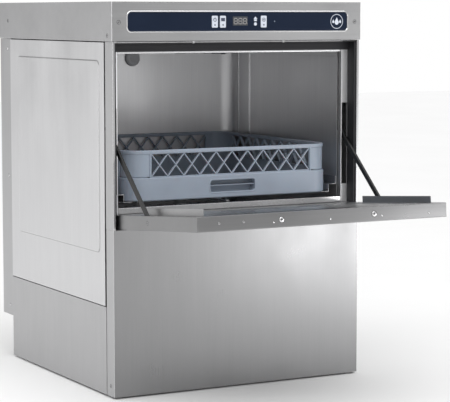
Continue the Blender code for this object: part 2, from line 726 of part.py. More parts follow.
def hinge_pin(name, sign):
    inner, outer = 0.2780, 0.2964
    profile = [(0, inner), (PIN_RADIUS, inner), (PIN_RADIUS, outer), (0, outer)]
    turned(name, DARK_STEEL, [(r, sign * h) for r, h in profile], (0.0, HINGE_Y, HINGE_Z), "X", 20)


def stay_arm(name, sign, axis):
    pivot = bpy.data.objects.new(name + "_axis", None)
    pivot.location = (0.0, -STAY_U, STAY_W)
    pivot.rotation_euler = (STAY_ANGLE + DOOR_TILT, 0.0, 0.0)
    pivot.parent = axis
    bpy.context.collection.objects.link(pivot)
    half = STAY_HALF_WIDTH
    outline = arc(0.0, 0.0, half, 90, 270, 6) + arc(STAY_LENGTH - half, 0.0, half, -90, 90, 6)
    ends = sorted((sign * (STAY_X - STAY_THICK / 2), sign * (STAY_X + STAY_THICK / 2)))
    arm = prism(name, DARK_STEEL, outline, "X", *ends, pivot)

    def eyes(bm):
        add_prism(bm, circle(0.0, 0.0, 0.0034, 12), "X", -0.30, 0.30)
        add_prism(bm, circle(STAY_LENGTH - half, 0.0, 0.0030, 12), "X", -0.30, 0.30)
    cut(arm, eyes)


# ---- rack ----------------------------------------------------------------------------------
def lattice_holes():
    """Openings of one lattice band, as outlines in (along, z): diamonds and half diamonds."""
    low, high = LATTICE_Z
    middle, rise = (low + high) / 2, (high - low) / 2
    slope = math.hypot(rise, LATTICE_PITCH / 2)
    inset_x = BLADE / 2 * slope / rise
    inset_z = BLADE / 2 * slope / (LATTICE_PITCH / 2)
    start = -LATTICE_PITCH * LATTICE_CELLS / 2
    half = LATTICE_PITCH / 2
    for i in range(LATTICE_CELLS + 1):
        x = start + i * LATTICE_PITCH
        if 0 < i < LATTICE_CELLS:
            yield [(x - half + inset_x, middle), (x, low + inset_z), (x + half - inset_x, middle),
                   (x, high - inset_z)]
        if i < LATTICE_CELLS:
            for edge, toward in ((low, 1), (high, -1)):
                yield [(x + inset_x, edge), (x + LATTICE_PITCH - inset_x, edge),
                       (x + half, middle - toward * inset_z)]


def rack_plan(inset):
    low, high = RACK_FRONT + inset, RACK_FRONT + RACK_SIZE - inset
    half = RACK_SIZE / 2 - inset
    return rounded(-half, half, low, high, RACK_CORNER - inset, 5)


def rack():
    top = RACK_BOTTOM + RACK_HEIGHT
    middle = RACK_FRONT + RACK_SIZE / 2
    walls = [sorted((side * (RACK_SIZE / 2 - 0.020), side * (RACK_SIZE / 2 + 0.010))) for side in (-1, 1)]
    body = prism("rack", RACK_BLUE, rack_plan(0.0), "Z", RACK_BOTTOM, STEP_Z)
    join(body, lambda bm: add_prism(bm, rack_plan(RACK_STEP), "Z", STEP_Z - 0.001, top))
    inside = rack_plan(RACK_STEP + RACK_WALL)
    cut(body, lambda bm: add_prism(bm, inside, "Z", RACK_BOTTOM + 0.0040, top + 0.01))

    def base_grid(bm):
        half = (GRID_PITCH - GRID_BAR) / 2
        rows = [(i - (GRID_COUNT - 1) / 2) * GRID_PITCH for i in range(GRID_COUNT)]
        for x in rows:
            for y in rows:
                add_box(bm, (x - half, x + half), (middle + y - half, middle + y + half),
                        (RACK_BOTTOM - 0.01, RACK_BOTTOM + 0.01))
    cut(body, base_grid)

    def bands(bm):
        for hole in lattice_holes():
            across = [(middle + a, z) for a, z in hole]
            for near, far in walls:
                add_prism(bm, hole, "Y", middle + near, middle + far)
                add_prism(bm, across, "X", near, far)
    cut(body, bands)

    def wells(bm, skin, outer):
        x0, x1, z0, z1 = GRIP
        outline = rectangle(x0 - skin, x1 + skin, z0 - skin, z1 + skin)
        for side in (-1, 1):
            near, far = sorted((side * (RACK_SIZE / 2 - GRIP_DEPTH - skin), side * (RACK_SIZE / 2 + outer)))
            add_prism(bm, outline, "Y", middle + near, middle + far)
    join(body, lambda bm: wells(bm, GRIP_SKIN, -RACK_STEP))
    cut(body, lambda bm: wells(bm, 0.0, 0.0100))


# ---- assembly ------------------------------------------------------------------------------
base_tray()
feet()
side_panel("left_side_panel", -1)
side_panel("right_side_panel", 1)
skirt("left_skirt", -1)
skirt("right_skirt", 1)
lower_front_panel()
rear_panel()
rear_cover()
top_cover()
control_fascia()
control_overlay()
keys()
display_window()
control_board()
front_post("left_front_post", -1)
front_post("right_front_post", 1)
lintel()
door_sill()
door_seal()
chamber_side_wall("left_chamber_wall", -1)
chamber_side_wall("right_chamber_wall", 1)
back_chamber_wall()
back_wall_plug()
chamber_roof()
wash_tank()
tank_filter()
overflow_standpipe()
tank_heater()
rack_rail("left_rack_rail", -1)
rack_rail("right_rack_rail", 1)
spray_arms()
wash_pump()
riser_pipe()
boiler()
inlet_valve()
drain_pump()
cable_gland()
dosing_pumps()
terminal_box()
door = door_group()
door_outer_panel(door)
door_inner_panel(door)
hinge_pin("left_hinge_pin", -1)
hinge_pin("right_hinge_pin", 1)
stay_arm("left_stay_arm", -1, door)
stay_arm("right_stay_arm", 1, door)
rack()
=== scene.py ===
"""Looks of the commercial dishwasher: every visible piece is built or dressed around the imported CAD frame."""
import json
import math

import bmesh
import bpy
from mathutils import Matrix, Vector


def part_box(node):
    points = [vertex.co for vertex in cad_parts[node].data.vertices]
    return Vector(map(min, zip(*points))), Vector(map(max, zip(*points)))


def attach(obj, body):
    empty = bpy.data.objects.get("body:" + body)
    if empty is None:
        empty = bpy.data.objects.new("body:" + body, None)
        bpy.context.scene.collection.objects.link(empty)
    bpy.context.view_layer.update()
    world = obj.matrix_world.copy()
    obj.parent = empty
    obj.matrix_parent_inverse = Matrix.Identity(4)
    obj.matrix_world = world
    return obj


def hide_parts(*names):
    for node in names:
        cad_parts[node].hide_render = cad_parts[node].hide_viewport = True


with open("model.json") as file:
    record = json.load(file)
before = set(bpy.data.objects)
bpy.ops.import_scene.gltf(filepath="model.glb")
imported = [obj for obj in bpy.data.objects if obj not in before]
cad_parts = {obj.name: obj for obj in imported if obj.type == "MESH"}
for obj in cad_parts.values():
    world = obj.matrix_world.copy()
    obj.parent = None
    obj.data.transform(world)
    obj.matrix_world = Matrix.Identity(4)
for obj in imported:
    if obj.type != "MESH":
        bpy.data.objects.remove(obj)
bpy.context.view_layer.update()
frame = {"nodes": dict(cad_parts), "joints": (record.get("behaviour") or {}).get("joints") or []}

# ---- places taken from the frame ---------------------------------------------------------------
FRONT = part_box("left_front_post")[0].y          # plane of the front posts
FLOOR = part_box("left_skirt")[0].z               # lower edge of the skirts
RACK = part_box("rack")
HINGE = next(j for j in frame["joints"] if j["name"] == "door_hinge")["pos_m"]
DOOR_TILT = math.radians(5.0)                   # the open door rises this much towards its free edge


def at(x, y, z):
    """A point given from the middle of the body, the front plane and the skirts' lower edge."""
    return Vector((x, FRONT + y, FLOOR + z))


def on_door(x, along, above):
    """A point given from the hinge axis, along the open door and above it."""
    c, s = math.cos(DOOR_TILT), math.sin(DOOR_TILT)
    return Vector((x, HINGE[1] - along * c + above * s, HINGE[2] + along * s + above * c))


# ---- procedural materials ----------------------------------------------------------------------
def principled(name, colour, metallic, roughness, **sockets):
    mat = bpy.data.materials.new(name)
    mat.use_nodes = True
    shader = mat.node_tree.nodes["Principled BSDF"]
    shader.inputs["Base Color"].default_value = (*colour, 1.0)
    shader.inputs["Metallic"].default_value = metallic
    shader.inputs["Roughness"].default_value = roughness
    for socket, value in sockets.items():
        shader.inputs[socket.replace("_", " ")].default_value = value
    return mat, mat.node_tree, shader


def noise(tree, scale, detail=3.0, roughness=0.55):
    """Noise in the object's own space. scale is per metre, along x, y and z."""
    place = tree.nodes.new("ShaderNodeTexCoord")
    stretch = tree.nodes.new("ShaderNodeMapping")
    stretch.inputs["Scale"].default_value = scale
    texture = tree.nodes.new("ShaderNodeTexNoise")
    texture.inputs["Scale"].default_value = 1.0
    texture.inputs["Detail"].default_value = detail
    texture.inputs["Roughness"].default_value = roughness
    tree.links.new(place.outputs["Object"], stretch.inputs["Vector"])
    tree.links.new(stretch.outputs["Vector"], texture.inputs["Vector"])
    return texture.outputs["Fac"]


def remap(tree, value, low, high, start=0.3, end=0.7):
    node = tree.nodes.new("ShaderNodeMapRange")
    for socket, number in (("From Min", start), ("From Max", end), ("To Min", low), ("To Max", high)):
        node.inputs[socket].default_value = number
    tree.links.new(value, node.inputs["Value"])
    return node.outputs["Result"]


def math_node(tree, operation, one, two):
    node = tree.nodes.new("ShaderNodeMath")
    node.operation = operation
    for socket, value in zip(node.inputs, (one, two)):
        if isinstance(value, (int, float)):
            socket.default_value = value
        else:
            tree.links.new(value, socket)
    return node.outputs["Value"]


def shades(tree, shader, value, dark, light):
    ramp = tree.nodes.new("ShaderNodeValToRGB")
    ramp.color_ramp.elements[0].position = 0.30
    ramp.color_ramp.elements[1].position = 0.70
    ramp.color_ramp.elements[0].color = (*dark, 1.0)
    ramp.color_ramp.elements[1].color = (*light, 1.0)
    tree.links.new(value, ramp.inputs["Fac"])
    tree.links.new(ramp.outputs["Color"], shader.inputs["Base Color"])


def bump(tree, shader, height, distance, strength=1.0):
    node = tree.nodes.new("ShaderNodeBump")
    node.inputs["Distance"].default_value = distance
    node.inputs["Strength"].default_value = strength
    tree.links.new(height, node.inputs["Height"])
    tree.links.new(node.outputs["Normal"], shader.inputs["Normal"])


def brushed(name, tone, rough, grain="Z", contrast=0.10, depth=0.000012):
    """Stainless sheet: fine grain along one axis, soft smudges, and roughness that follows both."""
    mat, tree, shader = principled(name, (tone, tone, tone * 1.01), 1.0, rough, Anisotropic=0.45,
                                    Anisotropic_Rotation=0.25 if grain == "X" else 0.0)
    along, across = 5.0, 420.0              # changes of shade per metre, with the grain and over it
    scale = tuple(along if axis == grain else across for axis in "XYZ")
    fine = noise(tree, scale, 4.0, 0.65)
    broad = noise(tree, tuple(0.12 * s if s == across else s for s in scale), 2.0)
    smudge = noise(tree, (7.0, 7.0, 5.0), 3.0)
    streaks = math_node(tree, "ADD", math_node(tree, "MULTIPLY", fine, 0.65),
                        math_node(tree, "MULTIPLY", broad, 0.35))
    low, high = tone * (1 - contrast), tone * (1 + contrast)
    shades(tree, shader, streaks, (low, low, low * 1.015), (high, high, high * 1.01))
    wear = math_node(tree, "ADD", remap(tree, streaks, -0.015, 0.015),
                     remap(tree, smudge, rough - 0.04, rough + 0.05))
    tree.links.new(wear, shader.inputs["Roughness"])
    bump(tree, shader, streaks, depth)
    return mat


def moulded(name, colour, rough, spread=0.06, depth=0.00006, **sockets):
    """Moulded plastic or rubber: a fine texture, with slow changes of shade."""
    mat, tree, shader = principled(name, colour, 0.0, rough, **sockets)
    skin = noise(tree, (900.0, 900.0, 900.0), 2.0)
    slow = noise(tree, (14.0, 14.0, 14.0), 3.0)
    dark = tuple(c * (1 - spread) for c in colour)
    light = tuple(min(c * (1 + spread), 1.0) for c in colour)
    shades(tree, shader, slow, dark, light)
    tree.links.new(remap(tree, slow, rough - 0.05, rough + 0.06), shader.inputs["Roughness"])
    bump(tree, shader, skin, depth)
    return mat


# These brushed steels copy one stainless steel. Their roughness differences are finish, but most of their tone
# differences are painted light and shade, set part by part to how bright each part should look.
STEEL = brushed("steel_vertical", 0.255, 0.31, "Z", 0.035, 0.000001)
STEEL_PANEL = brushed("steel_side_panel", 0.60, 0.40, "Z", 0.04)
STEEL_SIDE = brushed("steel_side", 0.44, 0.40, "Z", 0.05)
# Darker steel for the slopes of the side panels' pressings: painted shade that draws their contour.
STEEL_FOLD_PAINTED_SHADE = brushed("steel_fold_painted_shade", 0.40, 0.34, "Z", 0.04)
# Near-white steel for the post faces inside the door recess: painted light that lifts the recess's shade.
STEEL_JAMB_PAINTED_LIGHT = brushed("steel_jamb_painted_light", 0.97, 0.46, "Z", 0.04)
STEEL_TOP = brushed("steel_top", 0.50, 0.40, "X", 0.05, 0.000006)
STEEL_LID = brushed("steel_lid", 0.37, 0.36, "X", 0.05, 0.000006)
STEEL_SCREW = brushed("steel_screw", 0.36, 0.40, "X", 0.10, 0.000004)
STEEL_DOOR = brushed("steel_door", 0.25, 0.31, "X", 0.04, 0.000003)
# The chamber steel is lighter than the outer panels so that the walls read bright inside a box that light
# enters only by its opening: painted light.
CHAMBER = brushed("chamber_steel", 0.66, 0.36, "Z", 0.05, 0.000004)
POLISHED = brushed("polished_steel", 0.62, 0.20, "Y", 0.05, 0.000004)
LINER = brushed("liner_steel", 0.45, 0.28, "Y", 0.05, 0.000004)
# Bright steel for screw heads, clips and rims, and painted highlight on bends, the lintel and lines in the
# chamber.
BRIGHT_STEEL_AND_HIGHLIGHT = brushed("bright_steel_and_painted_highlight", 0.80, 0.22, "X", 0.04, 0.000002)
DARK_STEEL = brushed("dark_steel", 0.055, 0.45, "Y", 0.15)
CAST = brushed("cast_aluminium", 0.45, 0.55, "X", 0.12, 0.0002)
RUBBER = moulded("black_rubber", (0.014, 0.014, 0.017), 0.62, 0.25)
BLACK = moulded("black_plastic", (0.022, 0.022, 0.025), 0.48, 0.20)
GREY = moulded("grey_plastic", (0.30, 0.305, 0.31), 0.50, 0.10)
PLUG = moulded("plug_plastic", (0.46, 0.46, 0.47), 0.50, 0.06)
NAVY = moulded("navy_film", (0.006, 0.013, 0.032), 0.36, 0.04, 0.00001, Specular_IOR_Level=0.16)
KEY = moulded("pale_key", (0.62, 0.66, 0.74), 0.42, 0.04, 0.00003)
INK = moulded("key_ink", (0.05, 0.06, 0.10), 0.50, 0.05, 0.00001)
WINDOW = moulded("display_window", (0.055, 0.060, 0.070), 0.14, 0.10, 0.00001, Coat_Weight=0.6)
CIRCUIT = moulded("circuit_board", (0.02, 0.13, 0.05), 0.45, 0.15)
RACK_PLASTIC = moulded("rack_plastic", (0.30, 0.345, 0.415), 0.40, 0.05, 0.00005, Subsurface_Weight=0.06)


def brass_look():
    mat, tree, shader = principled("brass", (0.60, 0.42, 0.17), 1.0, 0.32)
    grain = noise(tree, (300.0, 300.0, 300.0), 3.0)
    shades(tree, shader, grain, (0.50, 0.34, 0.13), (0.66, 0.48, 0.21))
    tree.links.new(remap(tree, grain, 0.28, 0.42), shader.inputs["Roughness"])
    return mat


BRASS = brass_look()


def glowing(name, colour, strength):
    mat, tree, shader = principled(name, colour, 0.0, 0.4, Emission_Color=(*colour, 1.0),
                                   Emission_Strength=strength)
    shades(tree, shader, noise(tree, (400.0, 400.0, 400.0)), tuple(c * 0.9 for c in colour), colour)
    return mat


# The digits' faint glow does not come from a lit display: it is painted light that shows the segments lighter
# than the window.
DIGIT = glowing("display_digit", (0.30, 0.29, 0.28), 0.15)
LAMP = glowing("status_lamp", (0.16, 0.20, 0.26), 0.10)

# ---- mesh helpers ------------------------------------------------------------------------------
PLACE = {"X": lambda a, b, h: (h, a, b), "Y": lambda a, b, h: (a, h, b), "Z": lambda a, b, h: (a, b, h)}


def arc(cx, cy, radius, start, end, steps):
    turn, first = math.radians(end - start), math.radians(start)
    return [(cx + radius * math.cos(first + turn * i / steps),
             cy + radius * math.sin(first + turn * i / steps)) for i in range(steps + 1)]


def circle(cx, cy, radius, steps=32):
    return arc(cx, cy, radius, 0, 360, steps)[:-1]


def rounded(x0, x1, y0, y1, radius, steps=6):
    """The outline of a rectangle with round corners."""
    left, right, near, far = x0 + radius, x1 - radius, y0 + radius, y1 - radius
    return (arc(right, near, radius, -90, 0, steps) + arc(right, far, radius, 0, 90, steps)
            + arc(left, far, radius, 90, 180, steps) + arc(left, near, radius, 180, 270, steps))


def wheel(steps, x=0.0, z=0.0):
    """(point, outward normal) pairs about one point, for a ring swept by its profile."""
    turns = [2 * math.pi * i / steps for i in range(steps)]
    return [((x, z), (math.cos(turn), math.sin(turn))) for turn in turns]


def add_wall(bm, one, two):
    """Faces between two rings with the same number of points."""
    for i in range(len(one)):
        j = (i + 1) % len(one)
        bm.faces.new((one[i], one[j], two[j], two[i]))


def add_prism(bm, outline, axis, low, high):
    place = PLACE[axis]
    lower = [bm.verts.new(place(a, b, low)) for a, b in outline]
    upper = [bm.verts.new(place(a, b, high)) for a, b in outline]
    bm.faces.new(lower)
    bm.faces.new(upper)
    add_wall(bm, lower, upper)


def add_box(bm, x, y, z):
    add_prism(bm, [(x[0], y[0]), (x[1], y[0]), (x[1], y[1]), (x[0], y[1])], "Z", z[0], z[1])


def add_turned(bm, profile, steps=24):
    """Turn (radius, height) points about +Z, from pole to pole."""
    rings = []
    for radius, height in profile:
        count = steps if radius > 0 else 1
        rings.append([bm.verts.new((radius * math.cos(2 * math.pi * i / steps),
                                    radius * math.sin(2 * math.pi * i / steps), height))
                      for i in range(count)])
    for one, two in zip(rings, rings[1:]):
        for i in range(steps):
            j = (i + 1) % steps
            corner = [one[i % len(one)], one[j % len(one)], two[j % len(two)], two[i % len(two)]]
            bm.faces.new(list(dict.fromkeys(corner)))


def add_sweep(bm, path, profile, axis="Z", closed=True):
    """Sweep a closed (offset, height) profile along a path of (point, outward normal) across an axis."""
    place = PLACE[axis]
    rings = []
    for point, normal in path:
        rings.append([bm.verts.new(place(point[0] + normal[0] * o, point[1] + normal[1] * o, h))
                      for o, h in profile])
    pairs = list(zip(rings, rings[1:])) + ([(rings[-1], rings[0])] if closed else [])
    for one, two in pairs:
        add_wall(bm, one, two)
    if not closed:
        bm.faces.new(rings[0])
        bm.faces.new(rings[-1])


def around(x0, x1, y0, y1, radius, steps=8):
    """(point, outward normal) pairs around a rounded rectangle."""
    path = []
    for cx, cy, start in ((x1 - radius, y0 + radius, -90), (x1 - radius, y1 - radius, 0),
                          (x0 + radius, y1 - radius, 90), (x0 + radius, y0 + radius, 180)):
        for i in range(steps + 1):
            turn = math.radians(start + 90 * i / steps)
            normal = (math.cos(turn), math.sin(turn))
            path.append(((cx + radius * normal[0], cy + radius * normal[1]), normal))
    return path


def rotate(bm, direction, centre):
    """Turn what was built about +Z so that +Z becomes direction, and carry it to centre."""
    turn = Vector((0, 0, 1)).rotation_difference(Vector(direction)).to_matrix().to_4x4()
    bmesh.ops.transform(bm, matrix=Matrix.Translation(Vector(centre)) @ turn, verts=bm.verts[:])


def piece(name, bm, body, mat, replaces=(), angle=30, bevel=0.0, flat=False):
    """Turn bm into an object that rides on a body and may stand in for CAD nodes."""
    bmesh.ops.recalc_face_normals(bm, faces=bm.faces[:])
    mesh = bpy.data.meshes.new(name)
    bm.to_mesh(mesh)
    bm.free()
    obj = bpy.data.objects.new(name, mesh)
    bpy.context.scene.collection.objects.link(obj)
    mesh.materials.append(mat)
    if bevel:
        edge = obj.modifiers.new("edge", "BEVEL")
        edge.width, edge.segments, edge.limit_method, edge.angle_limit = bevel, 2, "ANGLE", math.radians(40)
        edge.use_clamp_overlap = True
    if not flat:
        mesh.shade_smooth()
        mesh.set_sharp_from_angle(angle=math.radians(angle))
        even = obj.modifiers.new("even", "WEIGHTED_NORMAL")
        even.keep_sharp = True
    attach(obj, body)
    if replaces:
        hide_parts(*replaces)
    return obj


def made(name, build, body, mat, **options):
    bm = bmesh.new()
    build(bm)
    return piece(name, bm, body, mat, **options)


def clean_copy(node):
    """A CAD node's mesh with its flat faces merged."""
    bm = bmesh.new()
    bm.from_mesh(frame["nodes"][node].data)
    bmesh.ops.remove_doubles(bm, verts=bm.verts[:], dist=1e-6)
    merge_flat(bm)
    return bm


def merge_flat(bm):
    bmesh.ops.dissolve_limit(bm, angle_limit=math.radians(0.4), verts=bm.verts[:], edges=bm.edges[:])


SHORT_FOLD, NARROW_FACE = 0.012, 0.0022       # folds no longer, or beside faces no wider, stay sharp


def bent(node, body, mat, radius=0.0018, inner=0.0008, edge=None, fold=0.5):
    """The CAD sheet with round bends for its sharp folds. edge, if given, goes on the convex bends as a painted
    highlight.
    """
    bm = clean_copy(node)

    def width(face, side):
        return face.calc_area() / max(side.calc_length(), 1e-6)

    for convex, size in ((True, radius), (False, inner)):
        folds = [e for e in bm.edges if len(e.link_faces) == 2 and e.calc_face_angle() > fold
                 and e.is_convex == convex and e.calc_length() > SHORT_FOLD
                 and min(width(f, e) for f in e.link_faces) > NARROW_FACE]
        if folds:
            # The convex bends take the edge material: a painted highlight along each bend.
            bmesh.ops.bevel(bm, geom=folds, offset=size, segments=3, profile=0.5, affect="EDGES",
                            clamp_overlap=True, material=1 if edge and convex else -1)
    skin = piece(node + "_skin", bm, body, mat, replaces=(node,))
    if edge:
        skin.data.materials.append(edge)
    return skin


def repaint(skin, mat, chosen):
    """Give some faces of a skin another material; here it paints light and shade onto chosen faces."""
    skin.data.materials.append(mat)
    for face in skin.data.polygons:
        if chosen(face):
            face.material_index = len(skin.data.materials) - 1


def dress(node, mat):
    """A CAD node that stays, with a finished material."""
    obj = frame["nodes"][node]
    obj.data.materials.clear()
    obj.data.materials.append(mat)
    obj.data.shade_smooth()
    obj.data.set_sharp_from_angle(angle=math.radians(30))


# ---- small hardware ----------------------------------------------------------------------------
def screw(name, centre, direction, body, radius=0.0034, height=0.0012, cross=True, mat=None):
    """A domed screw or bolt head on a flat dark ring of painted shadow, with a cross slot where cross is set.
    """
    bm = bmesh.new()
    dome = [(0, -0.0012), (radius * 0.96, -0.0012), (radius, 0.0002), (radius * 0.93, height * 0.55),
            (radius * 0.70, height * 0.86), (radius * 0.40, height), (0, height)]
    add_turned(bm, dome, 20)
    rotate(bm, direction, centre)
    piece(name, bm, body, mat or BRIGHT_STEEL_AND_HIGHLIGHT, angle=50)
    # The flat dark ring round the head is painted shadow, a shadow gap drawn in colour.
    ring = bmesh.new()
    shadow_ring = radius * 1.22
    add_turned(ring, [(0, -0.0008), (shadow_ring, -0.0008), (shadow_ring, 0.00006), (radius, 0.00008), (0, 0.00008)], 24)
    rotate(ring, direction, centre)
    piece(name + "_seat", ring, body, DARK_STEEL, flat=True)
    # The cross slot is a flat black cross on the head: painted shade of a recess.
    if cross:
        slot = bmesh.new()
        reach, thick = radius * 0.55, radius * 0.13
        for x, y in ((reach, thick), (thick, reach)):
            add_box(slot, (-x, x), (-y, y), (height * 0.5, height + 0.00008))
        rotate(slot, direction, centre)
        piece(name + "_slot", slot, body, RUBBER, flat=True)


# ---- skins, lid and base -----------------------------------------------------------------------
JAMB_X = 0.2925                  # faces of a post that are nearer to the middle belong to its jamb


def skins():
    # The bright material on these sheets' convex bends is painted highlight.
    for side in ("left", "right"):
        panel = bent(side + "_side_panel", "cabinet", STEEL_PANEL, 0.0007, 0.0006, BRIGHT_STEEL_AND_HIGHLIGHT, 0.3)
        # The pressing's slopes take the darker steel: painted shade.
        repaint(panel, STEEL_FOLD_PAINTED_SHADE, lambda face: 0.8 < abs(face.normal.x) < 0.97)
        bent(side + "_skirt", "cabinet", STEEL_SIDE)
        post = bent(side + "_front_post", "cabinet", STEEL_SIDE, 0.0012, 0.0006, BRIGHT_STEEL_AND_HIGHLIGHT)
        # The jamb faces inside the shaded recess take the near-white steel: painted light.
        repaint(post, STEEL_JAMB_PAINTED_LIGHT, lambda face: abs(face.center.x) < JAMB_X and face.normal.y < -0.9)
        bent(side + "_rack_rail", "cabinet", POLISHED, 0.0012, 0.0008)
    front = bent("lower_front_panel", "cabinet", STEEL, 0.0022, 0.0008, BRIGHT_STEEL_AND_HIGHLIGHT)
    # The front panel's side returns take a lighter steel than its face: painted light on those sides.
    repaint(front, STEEL_SIDE, lambda face: abs(face.normal.x) > 0.95)
    bent("top_cover", "cabinet", STEEL_TOP, 0.0016, 0.0008, BRIGHT_STEEL_AND_HIGHLIGHT)
    bent("control_fascia", "cabinet", STEEL_LID, 0.0012, 0.0006)
    bent("rear_panel", "cabinet", STEEL_SIDE)
    bent("rear_cover", "cabinet", STEEL_SIDE, 0.0018, 0.0008)
    bent("lintel", "cabinet", BRIGHT_STEEL_AND_HIGHLIGHT, 0.0012, 0.0006)
    bent("door_sill", "cabinet", POLISHED, 0.0012, 0.0006)
    dress("base_tray", STEEL_SIDE)


def feet():
    for name in ("front_left_foot", "front_right_foot", "rear_left_foot", "rear_right_foot"):
        low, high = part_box(name)
        centre = (low + high) / 2

        def foot(bm):
            r, h = (high.x - low.x) / 2, high.z - low.z
            add_turned(bm, [(0, 0), (r * 0.80, 0), (r * 0.90, 0.0006), (r, 0.0024), (r, 0.0060),
                            (r * 0.94, 0.0075), (r * 0.46, 0.0083), (r * 0.46, h), (0, h)], 32)
            bmesh.ops.translate(bm, verts=bm.verts[:], vec=(centre.x, centre.y, low.z))
        made(name + "_rubber", foot, "cabinet", RUBBER, replaces=(name,))


LID_SCREWS = (("rear", 0.564, 0.7785), ("front", 0.0205, 0.7505))        # label, y and z
FASCIA_SCREW_X = {"left": -0.285, "right": 0.284}
FASCIA_SCREW_YZ = (-0.0030, 0.778)
FRONT_PANEL_SCREW = (0.2980, 0.018, 0.022)
REAR_COVER_SCREWS = (0.2970, 0.575, (0.115, 0.420, 0.715))
LID_BACK_SCREWS = ((-0.2750, 0.0, 0.2750), 0.756)
LID_CLIPS = ((-0.111, 0.106), -0.0015, 0.7368)


def cabinet_screws():
    for sign, side in ((-1, "left"), (1, "right")):
        out = (sign, 0, 0)
        for label, y, z in LID_SCREWS:
            screw(f"lid_screw_{side}_{label}", at(sign * 0.3000, y, z), out, "cabinet", 0.0036, 0.0006,
                  mat=STEEL_SCREW)
        x, y, z = FRONT_PANEL_SCREW
        screw(f"front_panel_screw_{side}", at(sign * x, y, z), out, "cabinet", 0.0034, 0.0008,
              mat=STEEL_SCREW)
        screw(f"fascia_screw_{side}", at(FASCIA_SCREW_X[side], *FASCIA_SCREW_YZ), (0, -1, 0), "cabinet",
              0.0036, 0.0009, mat=STEEL_SCREW)
        x, y, rows = REAR_COVER_SCREWS
        for row, z in enumerate(rows):
            screw(f"rear_cover_screw_{side}_{row}", at(sign * x, y, z), out, "cabinet", 0.0034, 0.0009)
    columns, z = LID_BACK_SCREWS
    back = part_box("top_cover")[1].y - FRONT
    for i, x in enumerate(columns):
        screw(f"lid_back_screw_{i}", at(x, back, z), (0, 1, 0), "cabinet", 0.0034, 0.0005)


def lid_clips():
    columns, y, z = LID_CLIPS
    for i, x in enumerate(columns):
        def clip(bm):
            add_prism(bm, rounded(x - 0.0045, x + 0.0045, 0.0, 0.0060, 0.0022), "Z", 0.0, 0.0016)
            add_prism(bm, circle(x, 0.0025, 0.0026, 16), "Z", -0.0030, 0.0)
            bmesh.ops.translate(bm, verts=bm.verts[:], vec=at(0, y, z))
        made(f"lid_clip_{i}", clip, "cabinet", BRIGHT_STEEL_AND_HIGHLIGHT, bevel=0.0004)


# ---- control panel -----------------------------------------------------------------------------
RIM_INSET = 0.0040               # from the edge of the hidden overlay to the opening in the fascia
FASCIA_FACE = FRONT - 0.0030
DIGIT_SIZE = (0.0038, 0.0058, 0.0006)        # half width, height of one segment, half stroke
DIGIT_STEP = 0.0112
SYMBOLS = (0.0360, 0.7840)       # x and z of the two symbols between the display and the third key
MARK = (0.2390, 0.7785)          # x and z of the round mark at the right end
STATUS_LAMP = (0.083, 0.779)


def control_panel():
    low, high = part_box("control_overlay")
    front, surface = low.y, FASCIA_FACE
    bent("control_overlay", "cabinet", NAVY, 0.0, 0.0)
    opening = (low.x + RIM_INSET, high.x - RIM_INSET, low.z + RIM_INSET, high.z - RIM_INSET)

    def rim(bm):
        profile = [(-0.0010, front + 0.0002), (-0.0010, front - 0.0003), (0.0002, surface - 0.0007),
                   (0.0014, surface - 0.0007), (0.0024, surface + 0.0001), (0.0024, surface + 0.0006),
                   (0.0, surface + 0.0006)]
        add_sweep(bm, around(*opening, 0.0090, 10), profile, "Y")
    made("panel_rim", rim, "cabinet", BRIGHT_STEEL_AND_HIGHLIGHT, angle=35)


def key_ink(bm, x, z, kind):
    """Generic symbols: a ring with a bar, a plain glass, or a ring with a dot in it; and a dot under each."""
    face = (-0.00002, 0.00012)
    if kind != "cycle":
        add_ring(bm, x, z + 0.0040, 0.0041, 0.0030, face)
    if kind == "power":
        add_prism(bm, rounded(x - 0.0006, x + 0.0006, z + 0.0022, z + 0.0086, 0.0004, 2), "Y", *face)
    if kind == "cycle":
        add_prism(bm, [(x - 0.0050, z + 0.0078), (x + 0.0050, z + 0.0078), (x + 0.0042, z + 0.0008),
                       (x - 0.0042, z + 0.0008)], "Y", *face)
    if kind == "drain":
        add_prism(bm, circle(x, z + 0.0040, 0.0016, 12), "Y", *face)
    add_prism(bm, circle(x, z - 0.0068, 0.0017, 16), "Y", *face)


def add_ring(bm, x, z, outer, inner, face):
    section = [(inner, face[0]), (outer, face[0]), (outer, face[1]), (inner, face[1])]
    add_sweep(bm, wheel(28, x, z), section, "Y")


def keys():
    for kind in ("power", "cycle", "drain"):
        node = kind + "_button"
        low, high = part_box(node)
        x, z = (low.x + high.x) / 2, (low.z + high.z) / 2

        def cap(bm):
            outline = rounded(low.x, high.x, low.z, high.z, 0.0022)
            add_prism(bm, outline, "Y", low.y, high.y)
        made(node + "_cap", cap, node, KEY, replaces=(node,), bevel=0.0007)

        def ink(bm):
            key_ink(bm, x, z, kind)
            bmesh.ops.translate(bm, verts=bm.verts[:], vec=(0, low.y - 0.0001, 0))
        made(node + "_symbol", ink, node, INK, flat=True)


